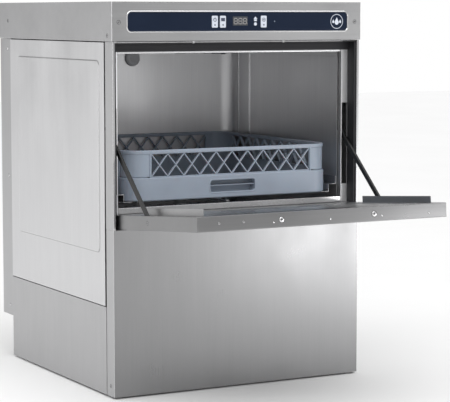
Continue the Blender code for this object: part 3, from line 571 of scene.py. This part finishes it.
def display():
    low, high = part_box("display_window")

    def pane(bm):
        add_prism(bm, rounded(low.x, high.x, low.z, high.z, 0.0013), "Y", low.y, high.y)
    made("display_window_pane", pane, "cabinet", WINDOW, replaces=("display_window",), bevel=0.0003)
    middle = (low.z + high.z) / 2
    wide, tall, stroke = DIGIT_SIZE

    def digits(bm):
        for i in (-1, 0, 1):
            x = (low.x + high.x) / 2 + i * DIGIT_STEP
            for z in (middle - tall, middle, middle + tall):
                add_prism(bm, bar(x - wide + 0.0010, x + wide - 0.0010, z, stroke), "Y", 0.0, 0.0001)
            for sx in (-wide, wide):
                for z in (middle - tall, middle):
                    upright = [(x + sx + b, a) for a, b in bar(z + 0.0010, z + tall - 0.0010, 0.0, stroke)]
                    add_prism(bm, upright, "Y", 0.0, 0.0001)
            add_prism(bm, circle(x + wide + 0.0018, middle - tall, 0.0006, 10), "Y", 0.0, 0.0001)
        bmesh.ops.translate(bm, verts=bm.verts[:], vec=(0, low.y - 0.00012, 0))
    made("display_digits", digits, "cabinet", DIGIT, flat=True)


def bar(start, end, height, stroke):
    """One segment of a digit: a bar with pointed ends."""
    low, high = height - stroke, height + stroke
    return [(start - stroke, height), (start, low), (end, low), (end + stroke, height), (end, high),
            (start, high)]


def printed_marks():
    """What the overlay carries besides its keys: two small symbols, a lamp and a plain round mark."""
    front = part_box("control_overlay")[0].y

    def marks(bm):
        x, z = SYMBOLS[0], FLOOR + SYMBOLS[1]
        face = (front - 0.0001, front + 0.0001)
        add_prism(bm, [(x - 0.0048, z), (x, z + 0.0052), (x + 0.0048, z)], "Y", *face)
        add_prism(bm, rounded(x - 0.0034, x + 0.0034, z - 0.0046, z - 0.0006, 0.0008, 3), "Y", *face)
        add_prism(bm, circle(x, z - 0.0105, 0.0036, 24), "Y", *face)
        ring_x, ring_z = MARK[0], FLOOR + MARK[1]
        add_ring(bm, ring_x, ring_z, 0.0158, 0.0146, face)
        add_prism(bm, drop(ring_x, ring_z - 0.0020, 0.0052), "Y", *face)
        for side in (-1, 1):
            add_prism(bm, drop(ring_x + side * 0.0088, ring_z - 0.0010, 0.0026), "Y", *face)
    made("overlay_marks", marks, "cabinet", KEY, flat=True)

    def lamp(bm):
        add_turned(bm, [(0, 0), (0.0016, 0), (0.0013, 0.0006), (0, 0.0008)], 16)
        rotate(bm, (0, -1, 0), (STATUS_LAMP[0], front, FLOOR + STATUS_LAMP[1]))
    made("status_lamp", lamp, "cabinet", LAMP)


def drop(x, z, radius):
    """A water drop: most of a circle with a point on top."""
    return arc(x, z, radius, 150, 390, 16) + [(x, z + 2.1 * radius)]


# ---- door frame and chamber --------------------------------------------------------------------
SEAL_TOP_BAR = 0.7165            # lower edge of the seal's top bar
LIP_AT = (0.0288, 0.0045)        # y of a lip's middle, and its distance from the edges of the bar
# The next line places a bright rod where each chamber corner's curve meets the side wall: a painted highlight
# line.
BEND_HIGHLIGHT_X, BEND_HIGHLIGHT_IN = 0.2712, 0.0350             # BEND_HIGHLIGHT_IN is from the outer side of the back wall
SEAM_X, SEAM_HALF = 0.2700, 0.0035


def frame_seal():
    """Rubber profile round the mouth, with two low lips along the top bar."""
    low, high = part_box("door_seal")
    bent("door_seal", "cabinet", RUBBER, 0.0016, 0.0010)
    y, inset = LIP_AT

    def lip(bm):
        for z in (at(0, 0, SEAL_TOP_BAR).z + inset, high.z - inset):
            add_prism(bm, circle(at(0, y, 0).y, z, 0.0018, 12), "X", low.x + 0.006, high.x - 0.006)
    made("seal_lips", lip, "cabinet", RUBBER)


def chamber():
    for side in ("left", "right"):
        bent(side + "_chamber_wall", "cabinet", CHAMBER)
    bent("back_chamber_wall", "cabinet", CHAMBER)
    bent("chamber_roof", "cabinet", CHAMBER)
    bent("wash_tank", "cabinet", CHAMBER, 0.0030, 0.0030)
    low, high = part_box("back_wall_plug")

    def plug(bm):
        r, h = (high.x - low.x) / 2, high.y - low.y
        add_turned(bm, [(0, 0), (r * 0.47, 0), (r * 0.47, h - 0.0080), (r, h - 0.0080), (r, h - 0.0045),
                        (r * 0.93, h - 0.0012), (r * 0.80, h - 0.0002), (r * 0.55, h - 0.0010),
                        (r * 0.50, h - 0.0016), (r * 0.30, h - 0.0016), (0, h - 0.0014)], 40)
        rotate(bm, (0, -1, 0), ((low.x + high.x) / 2, high.y, (low.z + high.z) / 2))
    made("back_wall_plug_cap", plug, "cabinet", PLUG, replaces=("back_wall_plug",))
    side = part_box("right_chamber_wall")
    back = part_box("back_chamber_wall")[1].y
    bottom, top = side[0].z + 0.002, side[1].z
    for sign, label in ((-1, "left"), (1, "right")):
        # A bright rod along the end of the corner's curve: painted highlight.
        def bend_highlight(bm):
            add_prism(bm, circle(sign * BEND_HIGHLIGHT_X, back - BEND_HIGHLIGHT_IN, 0.0024, 12), "Z", bottom, top)
        made(f"chamber_bend_highlight_{label}", bend_highlight, "cabinet", BRIGHT_STEEL_AND_HIGHLIGHT, angle=60)

        # The seam strip is a real joint drawn in bright steel: its brightness is painted highlight.
        def seam(bm):
            inner, outer = sorted((sign * (SEAM_X - 0.0006), sign * (SEAM_X + 0.0002)))
            add_box(bm, (inner, outer), (side[1].y - SEAM_HALF, side[1].y + SEAM_HALF), (bottom, top))
        made(f"chamber_seam_and_highlight_{label}", seam, "cabinet", BRIGHT_STEEL_AND_HIGHLIGHT, bevel=0.0002)


DIMPLES = (3, 0.1625, 0.125, 24, -0.2415, 0.021)     # rows, first y, step; columns, first x, step
STANDPIPE_Y = 0.28


def filter_plate():
    """The tank filter, with rows of pressed dimples for its small holes."""
    bent("tank_filter", "cabinet", POLISHED)
    rows, first_y, step_y, columns, first_x, step_x = DIMPLES
    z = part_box("tank_filter")[1].z

    def dimple(bm, x, y):
        ring = [bm.verts.new((x + 0.004 * math.cos(t), y + 0.004 * math.sin(t), z + 0.00005))
                for t in (2 * math.pi * i / 10 for i in range(10))]
        top = [bm.verts.new((v.co.x * 0.5 + x * 0.5, v.co.y * 0.5 + y * 0.5, z + 0.0012)) for v in ring]
        bm.faces.new(top)
        bm.faces.new(list(reversed(ring)))
        add_wall(bm, ring, top)

    def studs(bm):
        for row in range(rows):
            for column in range(columns):
                x, y = first_x + step_x * column, FRONT + first_y + step_y * row
                if math.hypot(x, y - FRONT - STANDPIPE_Y) > 0.03:
                    dimple(bm, x, y)
    made("filter_dimples", studs, "cabinet", POLISHED)


# ---- spray arms --------------------------------------------------------------------------------
ARM_BORE = 0.0094
STATIONS, SIDES = 24, 20                     # of an arm's tube, along it and round it


def spray_arm(node, wide, nozzles, up):
    """A flattened tube with crimped ends, a round hub and angled nozzles along its top or bottom."""
    low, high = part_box(node)
    centre = (low + high) / 2
    along_x = (high.x - low.x) > (high.y - low.y)
    reach = max(high.x - low.x, high.y - low.y) / 2
    half = wide / 2
    rise = (high.z - low.z) / 2

    def tube(bm):
        rings = []
        for i in range(STATIONS + 1):
            s = -1 + 2 * i / STATIONS
            x = reach * s
            end = min(1.0, (1 - abs(s)) * 14)
            swell = 0.55 + 0.45 * math.sqrt(max(end, 0.0))
            w, h = half * swell, (rise - 0.0001) * (0.35 + 0.65 * min(1.0, (1 - abs(s)) * 8))
            rings.append([bm.verts.new((x, w * shape(math.cos(a)), h * shape(math.sin(a))))
                          for a in (2 * math.pi * k / SIDES for k in range(SIDES))])
        for one, two in zip(rings, rings[1:]):
            add_wall(bm, one, two)
        bm.faces.new(rings[0])
        bm.faces.new(list(reversed(rings[-1])))
        add_sweep(bm, wheel(36), [(ARM_BORE, -rise), (0.0225, -rise), (0.0240, -rise + 0.0012),
                                  (0.0240, rise - 0.0012), (0.0225, rise), (ARM_BORE, rise)], "Z")
        if not along_x:
            quarter = Matrix.Rotation(math.pi / 2, 3, "Z")
            bmesh.ops.rotate(bm, verts=bm.verts[:], cent=(0, 0, 0), matrix=quarter)
        bmesh.ops.translate(bm, verts=bm.verts[:], vec=centre)
    made(node + "_tube", tube, node, POLISHED, replaces=(node,), angle=40)

    # The nozzles are dark bosses on the polished tube: their darkness is painted shade standing in for the
    # holes.
    def jets(bm):
        sign = 1 if up else -1

        def ellipse(middle, a, b, height):
            return [bm.verts.new(middle + Vector((a * math.cos(t), b * math.sin(t), height)))
                    for t in (2 * math.pi * k / 16 for k in range(16))]
        for i in range(nozzles):
            for side in (-1, 1):
                s = side * (0.045 + (reach - 0.065) * i / (nozzles - 1))
                middle = centre + (Vector((s, 0, 0)) if along_x else Vector((0, s, 0)))
                top = ellipse(middle, 0.0048, 0.0026, sign * rise)
                foot = ellipse(middle, 0.0060, 0.0040, sign * (rise - 0.0016))
                bm.faces.new(top)
                bm.faces.new(foot)
                add_wall(bm, top, foot)
    made(node + "_nozzles", jets, node, DARK_STEEL)


def shape(value):
    """Squarer than a circle, for a pressed tube's section."""
    return math.copysign(abs(value) ** 0.7, value)


def spray_arms():
    spray_arm("lower_wash_arm", 0.030, 6, True)
    spray_arm("lower_rinse_arm", 0.014, 5, True)
    spray_arm("upper_wash_arm", 0.030, 6, False)
    spray_arm("upper_rinse_arm", 0.014, 5, False)
    for node in ("lower_spindle", "upper_spindle", "overflow_standpipe"):
        body = "standpipe" if node == "overflow_standpipe" else "cabinet"
        bent(node, body, GREY, 0.0006, 0.0003)


# ---- door --------------------------------------------------------------------------------------
EDGE_SCREWS = (-0.240, -0.187)
EDGE_BOLTS = (-0.102, 0.112)
EDGE_RIVETS = (-0.120, 0.009, 0.130, 0.244)
SIDE_SCREW = (0.2875, 0.150)                 # x, and the distance from the hinge
LINER_FACE = 0.0145                          # above the hinge axis
FIELD = (-0.2300, 0.2300, 0.060, 0.330)      # x from and to, then the distances from the hinge
STAY_PIVOT = (0.2825, 0.1452, 0.0040)        # x, the distance from the hinge, and the height over it


def door():
    bent("door_outer_panel", "door", STEEL_DOOR, 0.0016, 0.0008)
    liner = bent("door_inner_panel", "door", LINER, 0.0008, 0.0008)
    # The liner's side faces take a darker steel than its face: painted shade on those sides.
    repaint(liner, STEEL_LID, lambda face: abs(face.normal.x) > 0.8)
    out = on_door(0, 1, 0) - on_door(0, 0, 0)
    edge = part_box("door_outer_panel")
    reach = (HINGE[1] - edge[0].y) / math.cos(DOOR_TILT) - 0.0012
    for i, x in enumerate(EDGE_SCREWS):
        screw(f"door_edge_screw_{i}", on_door(x, reach, 0.0), out, "door", 0.0026, 0.0007, mat=STEEL_SIDE)
    for i, x in enumerate(EDGE_BOLTS):
        screw(f"door_edge_bolt_{i}", on_door(x, reach, 0.0), out, "door", 0.0052, 0.0009)
    for i, x in enumerate(EDGE_RIVETS):
        screw(f"door_edge_rivet_{i}", on_door(x, reach, -0.0045), out, "door", 0.0017, 0.0006, cross=False)
    x, along = SIDE_SCREW
    for sign, side in ((-1, "left"), (1, "right")):
        screw(f"door_side_screw_{side}", on_door(sign * x, along, 0.0), (sign, 0, 0), "door", 0.0038, 0.0009,
              mat=STEEL_SCREW)
        bent(side + "_hinge_pin", "cabinet", DARK_STEEL)


def door_field():
    """The shallow pressed field that stiffens the liner."""
    def field(bm):
        section = [(0.0, -0.0004), (0.0, 0.0), (-0.0030, 0.0007), (-0.0060, 0.0009), (-0.0060, -0.0004)]
        add_sweep(bm, around(*FIELD, 0.0160, 8), section, "Z")
        for vert in bm.verts:
            vert.co = on_door(vert.co.x, vert.co.y, LINER_FACE + vert.co.z)
    made("door_liner_pressing", field, "door", LINER, angle=60)


def stays():
    x, along, above = STAY_PIVOT
    for side, sign in (("left", -1), ("right", 1)):
        bent(side + "_stay_arm", side + "_stay", DARK_STEEL, 0.0006, 0.0004)
        screw(f"{side}_stay_pivot", on_door(sign * x, along, above), (sign, 0, 0), "door", 0.0060, 0.0016,
              cross=False, mat=POLISHED)


# ---- rack --------------------------------------------------------------------------------------
RACK_CORNER = 0.045
STEP = 0.003                                 # the latticed part stands in from the solid part
STEP_Z = 0.049                               # heights are from the rack's underside
WALL = 0.003
RACK_FACE, RACK_BACK = -STEP, -STEP - WALL   # outer and inner side of the latticed part's wall
PITCH, CELLS, BLADE, BLADE_DEEP = 0.0385, 10, 0.0022, 0.0065
BAND = (0.0505, 0.0985)
GRIP = (-0.0550, 0.0550, 0.0120, 0.0380)
GRIP_DEPTH = 0.0210
BAR_STEP, BAR_REACH = 0.0155, 14             # of the base: distance between bars, bars each side
MIDDLE = (RACK[0] + RACK[1]) / 2
HALF = (RACK[1].x - RACK[0].x) / 2


def rack_path():
    low, high = RACK
    return around(low.x, high.x, low.y, high.y, RACK_CORNER, 10)


def carved(name, build, cutter, body, mat, **options):
    """Build a solid, cut a second one from it and make the result a piece."""
    solid, tool = bmesh.new(), bmesh.new()
    build(solid)
    cutter(tool)
    pair = []
    for bm in (solid, tool):
        bmesh.ops.recalc_face_normals(bm, faces=bm.faces[:])
        mesh = bpy.data.meshes.new(name)
        bm.to_mesh(mesh)
        bm.free()
        obj = bpy.data.objects.new(name, mesh)
        bpy.context.scene.collection.objects.link(obj)
        pair.append(obj)
    step = pair[0].modifiers.new("cut", "BOOLEAN")
    step.object, step.solver, step.operation = pair[1], "EXACT", "DIFFERENCE"
    bpy.context.view_layer.update()
    result = bmesh.new()
    result.from_object(pair[0], bpy.context.evaluated_depsgraph_get())
    for obj in pair:
        bpy.data.objects.remove(obj)
    merge_flat(result)
    return piece(name, result, body, mat, **options)


def rack_tub():
    base = RACK[0].z
    x0, x1, z0, z1 = GRIP

    def wall(bm):
        step = base + STEP_Z
        section = [(-0.0022, base), (0.0, base + 0.0022), (0.0, step - 0.0012), (-0.0012, step),
                   (RACK_BACK, step), (RACK_BACK, base + 0.0030), (-0.0100, base + 0.0030), (-0.0100, base)]
        add_sweep(bm, rack_path(), section, "Z")

    def grips(bm):
        for side in (-1, 1):
            near, far = sorted((side * 0.22, side * 0.26))
            outline = rounded(x0, x1, base + z0, base + z1, 0.0060, 5)
            add_prism(bm, outline, "Y", MIDDLE.y + near, MIDDLE.y + far)
    carved("rack_tub", wall, grips, "rack", RACK_PLASTIC, replaces=("rack",), bevel=0.0005)


def rack_rim():
    base, top = RACK[0].z, RACK[1].z

    def rim(bm):
        bead = [(RACK_BACK - 0.0012, top - 0.0078), (RACK_FACE + 0.0004, top - 0.0085),
                (RACK_FACE + 0.0014, top - 0.0074), (RACK_FACE + 0.0016, top - 0.0016),
                (RACK_FACE + 0.0004, top - 0.0002), (RACK_FACE - 0.0014, top),
                (RACK_BACK - 0.0010, top - 0.0004), (RACK_BACK - 0.0020, top - 0.0020)]
        add_sweep(bm, rack_path(), bead, "Z")
        low, high = base + STEP_Z - 0.001, base + BAND[0] + 0.0008
        sill = [(RACK_BACK - 0.0012, low), (RACK_FACE, low), (RACK_FACE, high), (RACK_BACK - 0.0012, high)]
        add_sweep(bm, rack_path(), sill, "Z")
    made("rack_rim", rim, "rack", RACK_PLASTIC, angle=50)


def rack_corners():
    """Four solid corner posts between the lattice bands, each with two upright ribs."""
    base, top = RACK[0].z + STEP_Z - 0.0005, RACK[1].z - 0.0020
    reach = PITCH * CELLS / 2

    def corner(bm, sx, sy):
        path = [((sx * reach, sy * HALF), (0, sy))]
        centre = HALF - RACK_CORNER
        for i in range(11):
            turn = math.radians(90 - 9 * i)
            a, b = sx * math.cos(turn), sy * math.sin(turn)
            path.append(((sx * centre + RACK_CORNER * a, sy * centre + RACK_CORNER * b), (a, b)))
        path.append(((sx * HALF, sy * reach), (sx, 0)))
        path = [((MIDDLE.x + p[0], MIDDLE.y + p[1]), n) for p, n in path]
        section = [(RACK_BACK, base), (RACK_FACE, base), (RACK_FACE, top), (RACK_BACK, top)]
        add_sweep(bm, path, section, "Z", closed=False)
        along, across = reach + 0.003, HALF - STEP + 0.0006
        for a, b, wide, deep in ((along, across, 0.0016, 0.0012), (across, along, 0.0012, 0.0016)):
            x, y = MIDDLE.x + sx * a, MIDDLE.y + sy * b
            add_box(bm, (x - wide, x + wide), (y - deep, y + deep), (base, top))
    for sy, end in ((-1, "front"), (1, "rear")):
        for sx, side in ((-1, "left"), (1, "right")):
            made(f"rack_corner_{end}_{side}", lambda bm: corner(bm, sx, sy), "rack", RACK_PLASTIC,
                 bevel=0.0004)


def rack_lattice():
    """Crossed blades, deeper than the wall, on all four sides."""
    low, high = RACK[0].z + BAND[0], RACK[0].z + BAND[1]
    start = -PITCH * CELLS / 2
    shift = BLADE / 2 * math.hypot(PITCH, high - low) / (high - low)

    def blades(bm, axis, sign):
        outer = sign * (HALF - STEP)
        near, far = sorted((outer, outer - sign * BLADE_DEEP))
        for i in range(CELLS):
            a, b = start + i * PITCH, start + (i + 1) * PITCH
            for p, q in ((a, b), (b, a)):
                outline = [(p - shift, low), (p + shift, low), (q + shift, high), (q - shift, high)]
                if axis == "Y":
                    add_prism(bm, outline, "Y", MIDDLE.y + near, MIDDLE.y + far)
                else:
                    add_prism(bm, [(MIDDLE.y + u, v) for u, v in outline], "X", near, far)
    for axis, sign, label in (("Y", -1, "front"), ("Y", 1, "rear"), ("X", -1, "left"), ("X", 1, "right")):
        made("rack_lattice_" + label, lambda bm: blades(bm, axis, sign), "rack", RACK_PLASTIC, bevel=0.00035)


def rack_base():
    """Open base: heavy bars where the solid has them and light bars between."""
    low, x0, y0 = RACK[0], MIDDLE.x, MIDDLE.y
    half = HALF - 0.006

    def bars(bm):
        for i in range(-BAR_REACH, BAR_REACH + 1):
            heavy = i % 4 == 2
            wide = 0.0030 if heavy else 0.0011
            tall = 0.0040 if heavy else 0.0032
            spot = i * BAR_STEP
            reach = half if abs(spot) < half - 0.040 else half - 0.014
            add_box(bm, (x0 + spot - wide, x0 + spot + wide), (y0 - reach, y0 + reach),
                    (low.z + 0.0002, low.z + tall))
            add_box(bm, (x0 - reach, x0 + reach), (y0 + spot - wide, y0 + spot + wide),
                    (low.z + 0.0004, low.z + tall - 0.0002))
        hole = half - 0.03
        outer = rounded(x0 - half, x0 + half, y0 - half, y0 + half, RACK_CORNER - 0.006)
        inner = rounded(x0 - hole, x0 + hole, y0 - hole, y0 + hole, 0.020)
        for k in range(len(outer)):
            m = (k + 1) % len(outer)
            quad = [outer[k], outer[m], inner[m], inner[k]]
            lower = [bm.verts.new((a, b, low.z + 0.0006)) for a, b in quad]
            upper = [bm.verts.new((a, b, low.z + 0.0036)) for a, b in quad]
            bm.faces.new(list(reversed(lower)))
            bm.faces.new(upper)
            add_wall(bm, lower, upper)
    made("rack_base_grid", bars, "rack", RACK_PLASTIC, flat=True)


def rack_grips():
    """A finger well behind each grip slot, with a thin rib across it and a raised lip round it."""
    x0, x1, z0, z1 = GRIP
    z0, z1 = RACK[0].z + z0, RACK[0].z + z1
    skin = 0.0014
    for label, y, out in (("front", RACK[0].y, -1), ("rear", RACK[1].y, 1)):
        def well(bm):
            back = [y - out * (GRIP_DEPTH + skin), y - out * GRIP_DEPTH]
            add_prism(bm, rounded(x0 - skin, x1 + skin, z0 - skin, z1 + skin, 0.0060), "Y", *back)
            side = [(0.0, y - out * 0.0040), (skin, y - out * 0.0040), (skin, back[0]), (0.0, back[0])]
            add_sweep(bm, around(x0, x1, z0, z1, 0.0050, 6), side, "Y")
            rib = z0 + 0.55 * (z1 - z0)
            add_box(bm, (x0, x1), sorted((y - out * 0.0050, back[1])), (rib - 0.0009, rib + 0.0009))
        made("rack_well_" + label, well, "rack", RACK_PLASTIC, bevel=0.0003)

        def lip(bm):
            section = [(-0.0004, y - out * 0.0062), (-0.0004, y + out * 0.0003), (0.0004, y + out * 0.0007),
                       (0.0020, y + out * 0.0007), (0.0028, y - out * 0.0002), (0.0028, y - out * 0.0062)]
            add_sweep(bm, around(x0, x1, z0, z1, 0.0060, 6), section, "Y")
        made("rack_grip_" + label, lip, "rack", RACK_PLASTIC, angle=40)


def rack():
    rack_tub()
    rack_rim()
    rack_corners()
    rack_lattice()
    rack_base()
    rack_grips()


# ---- services ----------------------------------------------------------------------------------
THREAD = (8, 0.0300, 0.0030, [(0.0125, 0.0), (0.0140, 0.0006), (0.0125, 0.0012)])
HOSE_RIBS = (4, 0.0220, 0.0052, [(0.0135, 0.0), (0.0163, 0.0012), (0.0135, 0.0038)])
LOUVRES = (0.16, 0.052, 6, 0.560, 0.022)     # middle, half width, rows, first height, step


def rear_services():
    for node, mat in (("inlet_valve", BRASS), ("drain_pump", GREY), ("cable_gland", BLACK)):
        bent(node, "cabinet", mat, 0.0006, 0.0003)
    stub_rings("inlet_thread", "inlet_valve", BRASS, *THREAD)
    stub_rings("drain_ribs", "drain_pump", GREY, *HOSE_RIBS)


def stub_rings(name, node, mat, count, first, step, section):
    """Rings round a stub that points backwards: first is how far the first stands in from its end."""
    low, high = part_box(node)
    x, z = (low.x + high.x) / 2, (low.z + high.z) / 2

    def rings(bm):
        for i in range(count):
            y = high.y - first + i * step
            add_sweep(bm, wheel(28, x, z), [(r, y + h) for r, h in section], "Y")
    made(name, rings, "cabinet", mat, angle=20)


def louvres():
    """Pressed hoods over the slots in the rear cover."""
    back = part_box("rear_cover")[1].y
    middle, half, rows, first, step = LOUVRES

    def hoods(bm):
        for side in (-1, 1):
            x = side * middle
            for row in range(rows):
                z = FLOOR + first + step * row
                section = [(back - 0.0006, z + 0.0060), (back - 0.0002, z + 0.0110),
                           (back - 0.0030, z + 0.0106)]
                add_prism(bm, section, "X", x - half, x + half)
    made("rear_louvres", hoods, "cabinet", STEEL_SIDE, bevel=0.0002)


def machinery():
    looks = {"control_board": CIRCUIT, "tank_heater": DARK_STEEL, "wash_pump_housing": BLACK,
             "wash_pump_motor": CAST, "riser_pipe": RUBBER, "boiler_tank": STEEL_SIDE, "boiler_heater": BRASS,
             "detergent_pump": GREY, "rinse_aid_pump": GREY, "terminal_box": GREY}
    for node, mat in looks.items():
        dress(node, mat)


# ---- build -------------------------------------------------------------------------------------
skins()
feet()
cabinet_screws()
lid_clips()
control_panel()
keys()
display()
printed_marks()
frame_seal()
chamber()
filter_plate()
spray_arms()
door()
door_field()
stays()
rack()
rear_services()
louvres()
machinery()


# ---- stage, light and camera -------------------------------------------------------------------
FLOOR_HALF = 12.0
BACKDROP_SEEN, BACKDROP_LIGHT = 1.0, 0.50    # the white world as the camera sees it and as it lights
BODY_MIDDLE = (0.0, 0.0, 0.45)
RIGHT_FRONT = {"place": (1.15, -1.25, 0.20), "aim": (0.1, -0.2, 0.20), "size": (0.80, 0.38), "power": 4.5}
LEFT = {"place": (-3.2, 1.2, 1.4), "aim": BODY_MIDDLE, "size": (2.2, 2.2), "power": 33}
OVERHEAD = {"energy": 2.4, "angle": 80, "tilt": 26, "turn": -8}
CAMERA_AT = (-1.88106, -3.39187, 0.79681)    # fitted to the photo, as are the next three
CAMERA_DOWN, CAMERA_TURN = 0.10263, -0.49806
LENS, SENSOR = 146.09, 36.0


def stage():
    mat, tree, shader = principled("pale_floor", (0.88, 0.88, 0.88), 0.0, 0.55)
    shades(tree, shader, noise(tree, (2.0, 2.0, 2.0)), (0.87, 0.87, 0.87), (0.89, 0.89, 0.89))
    bm = bmesh.new()
    add_box(bm, (-FLOOR_HALF, FLOOR_HALF), (-FLOOR_HALF, FLOOR_HALF), (-0.02, 0.0))
    mesh = bpy.data.meshes.new("floor")
    bm.to_mesh(mesh)
    bm.free()
    floor = bpy.data.objects.new("floor", mesh)
    mesh.materials.append(mat)
    bpy.context.scene.collection.objects.link(floor)


def soft_light(name, place, aim, size, power):
    data = bpy.data.lights.new(name, "AREA")
    data.shape = "RECTANGLE"
    data.size, data.size_y = size
    data.energy = power
    lamp = bpy.data.objects.new(name, data)
    lamp.location = place
    lamp.rotation_euler = (Vector(aim) - Vector(place)).to_track_quat("-Z", "Y").to_euler()
    bpy.context.scene.collection.objects.link(lamp)


def lights():
    world = bpy.data.worlds.new("studio")
    world.use_nodes = True
    tree = world.node_tree
    tree.nodes["Background"].inputs["Strength"].default_value = 1.0
    seen = tree.nodes.new("ShaderNodeLightPath")
    shade = tree.nodes.new("ShaderNodeMapRange")
    shade.inputs["To Min"].default_value = BACKDROP_LIGHT
    shade.inputs["To Max"].default_value = BACKDROP_SEEN
    tree.links.new(seen.outputs["Is Camera Ray"], shade.inputs["Value"])
    tree.links.new(shade.outputs["Result"], tree.nodes["Background"].inputs["Color"])
    bpy.context.scene.world = world
    soft_light("right_front_softbox", **RIGHT_FRONT)
    soft_light("left_softbox", **LEFT)
    sky = bpy.data.lights.new("overhead", "SUN")
    sky.energy = OVERHEAD["energy"]
    sky.angle = math.radians(OVERHEAD["angle"])
    overhead = bpy.data.objects.new("overhead", sky)
    overhead.rotation_euler = (math.radians(OVERHEAD["tilt"]), 0.0, math.radians(OVERHEAD["turn"]))
    bpy.context.scene.collection.objects.link(overhead)


def camera():
    data = bpy.data.cameras.new("camera")
    data.lens, data.sensor_width, data.sensor_fit = LENS, SENSOR, "HORIZONTAL"
    view = bpy.data.objects.new("camera", data)
    view.location = at(*CAMERA_AT)
    view.rotation_euler = (math.pi / 2 - CAMERA_DOWN, 0.0, CAMERA_TURN)
    bpy.context.scene.collection.objects.link(view)
    bpy.context.scene.camera = view


stage()
lights()
camera()
bpy.context.scene.view_settings.view_transform = "Standard"
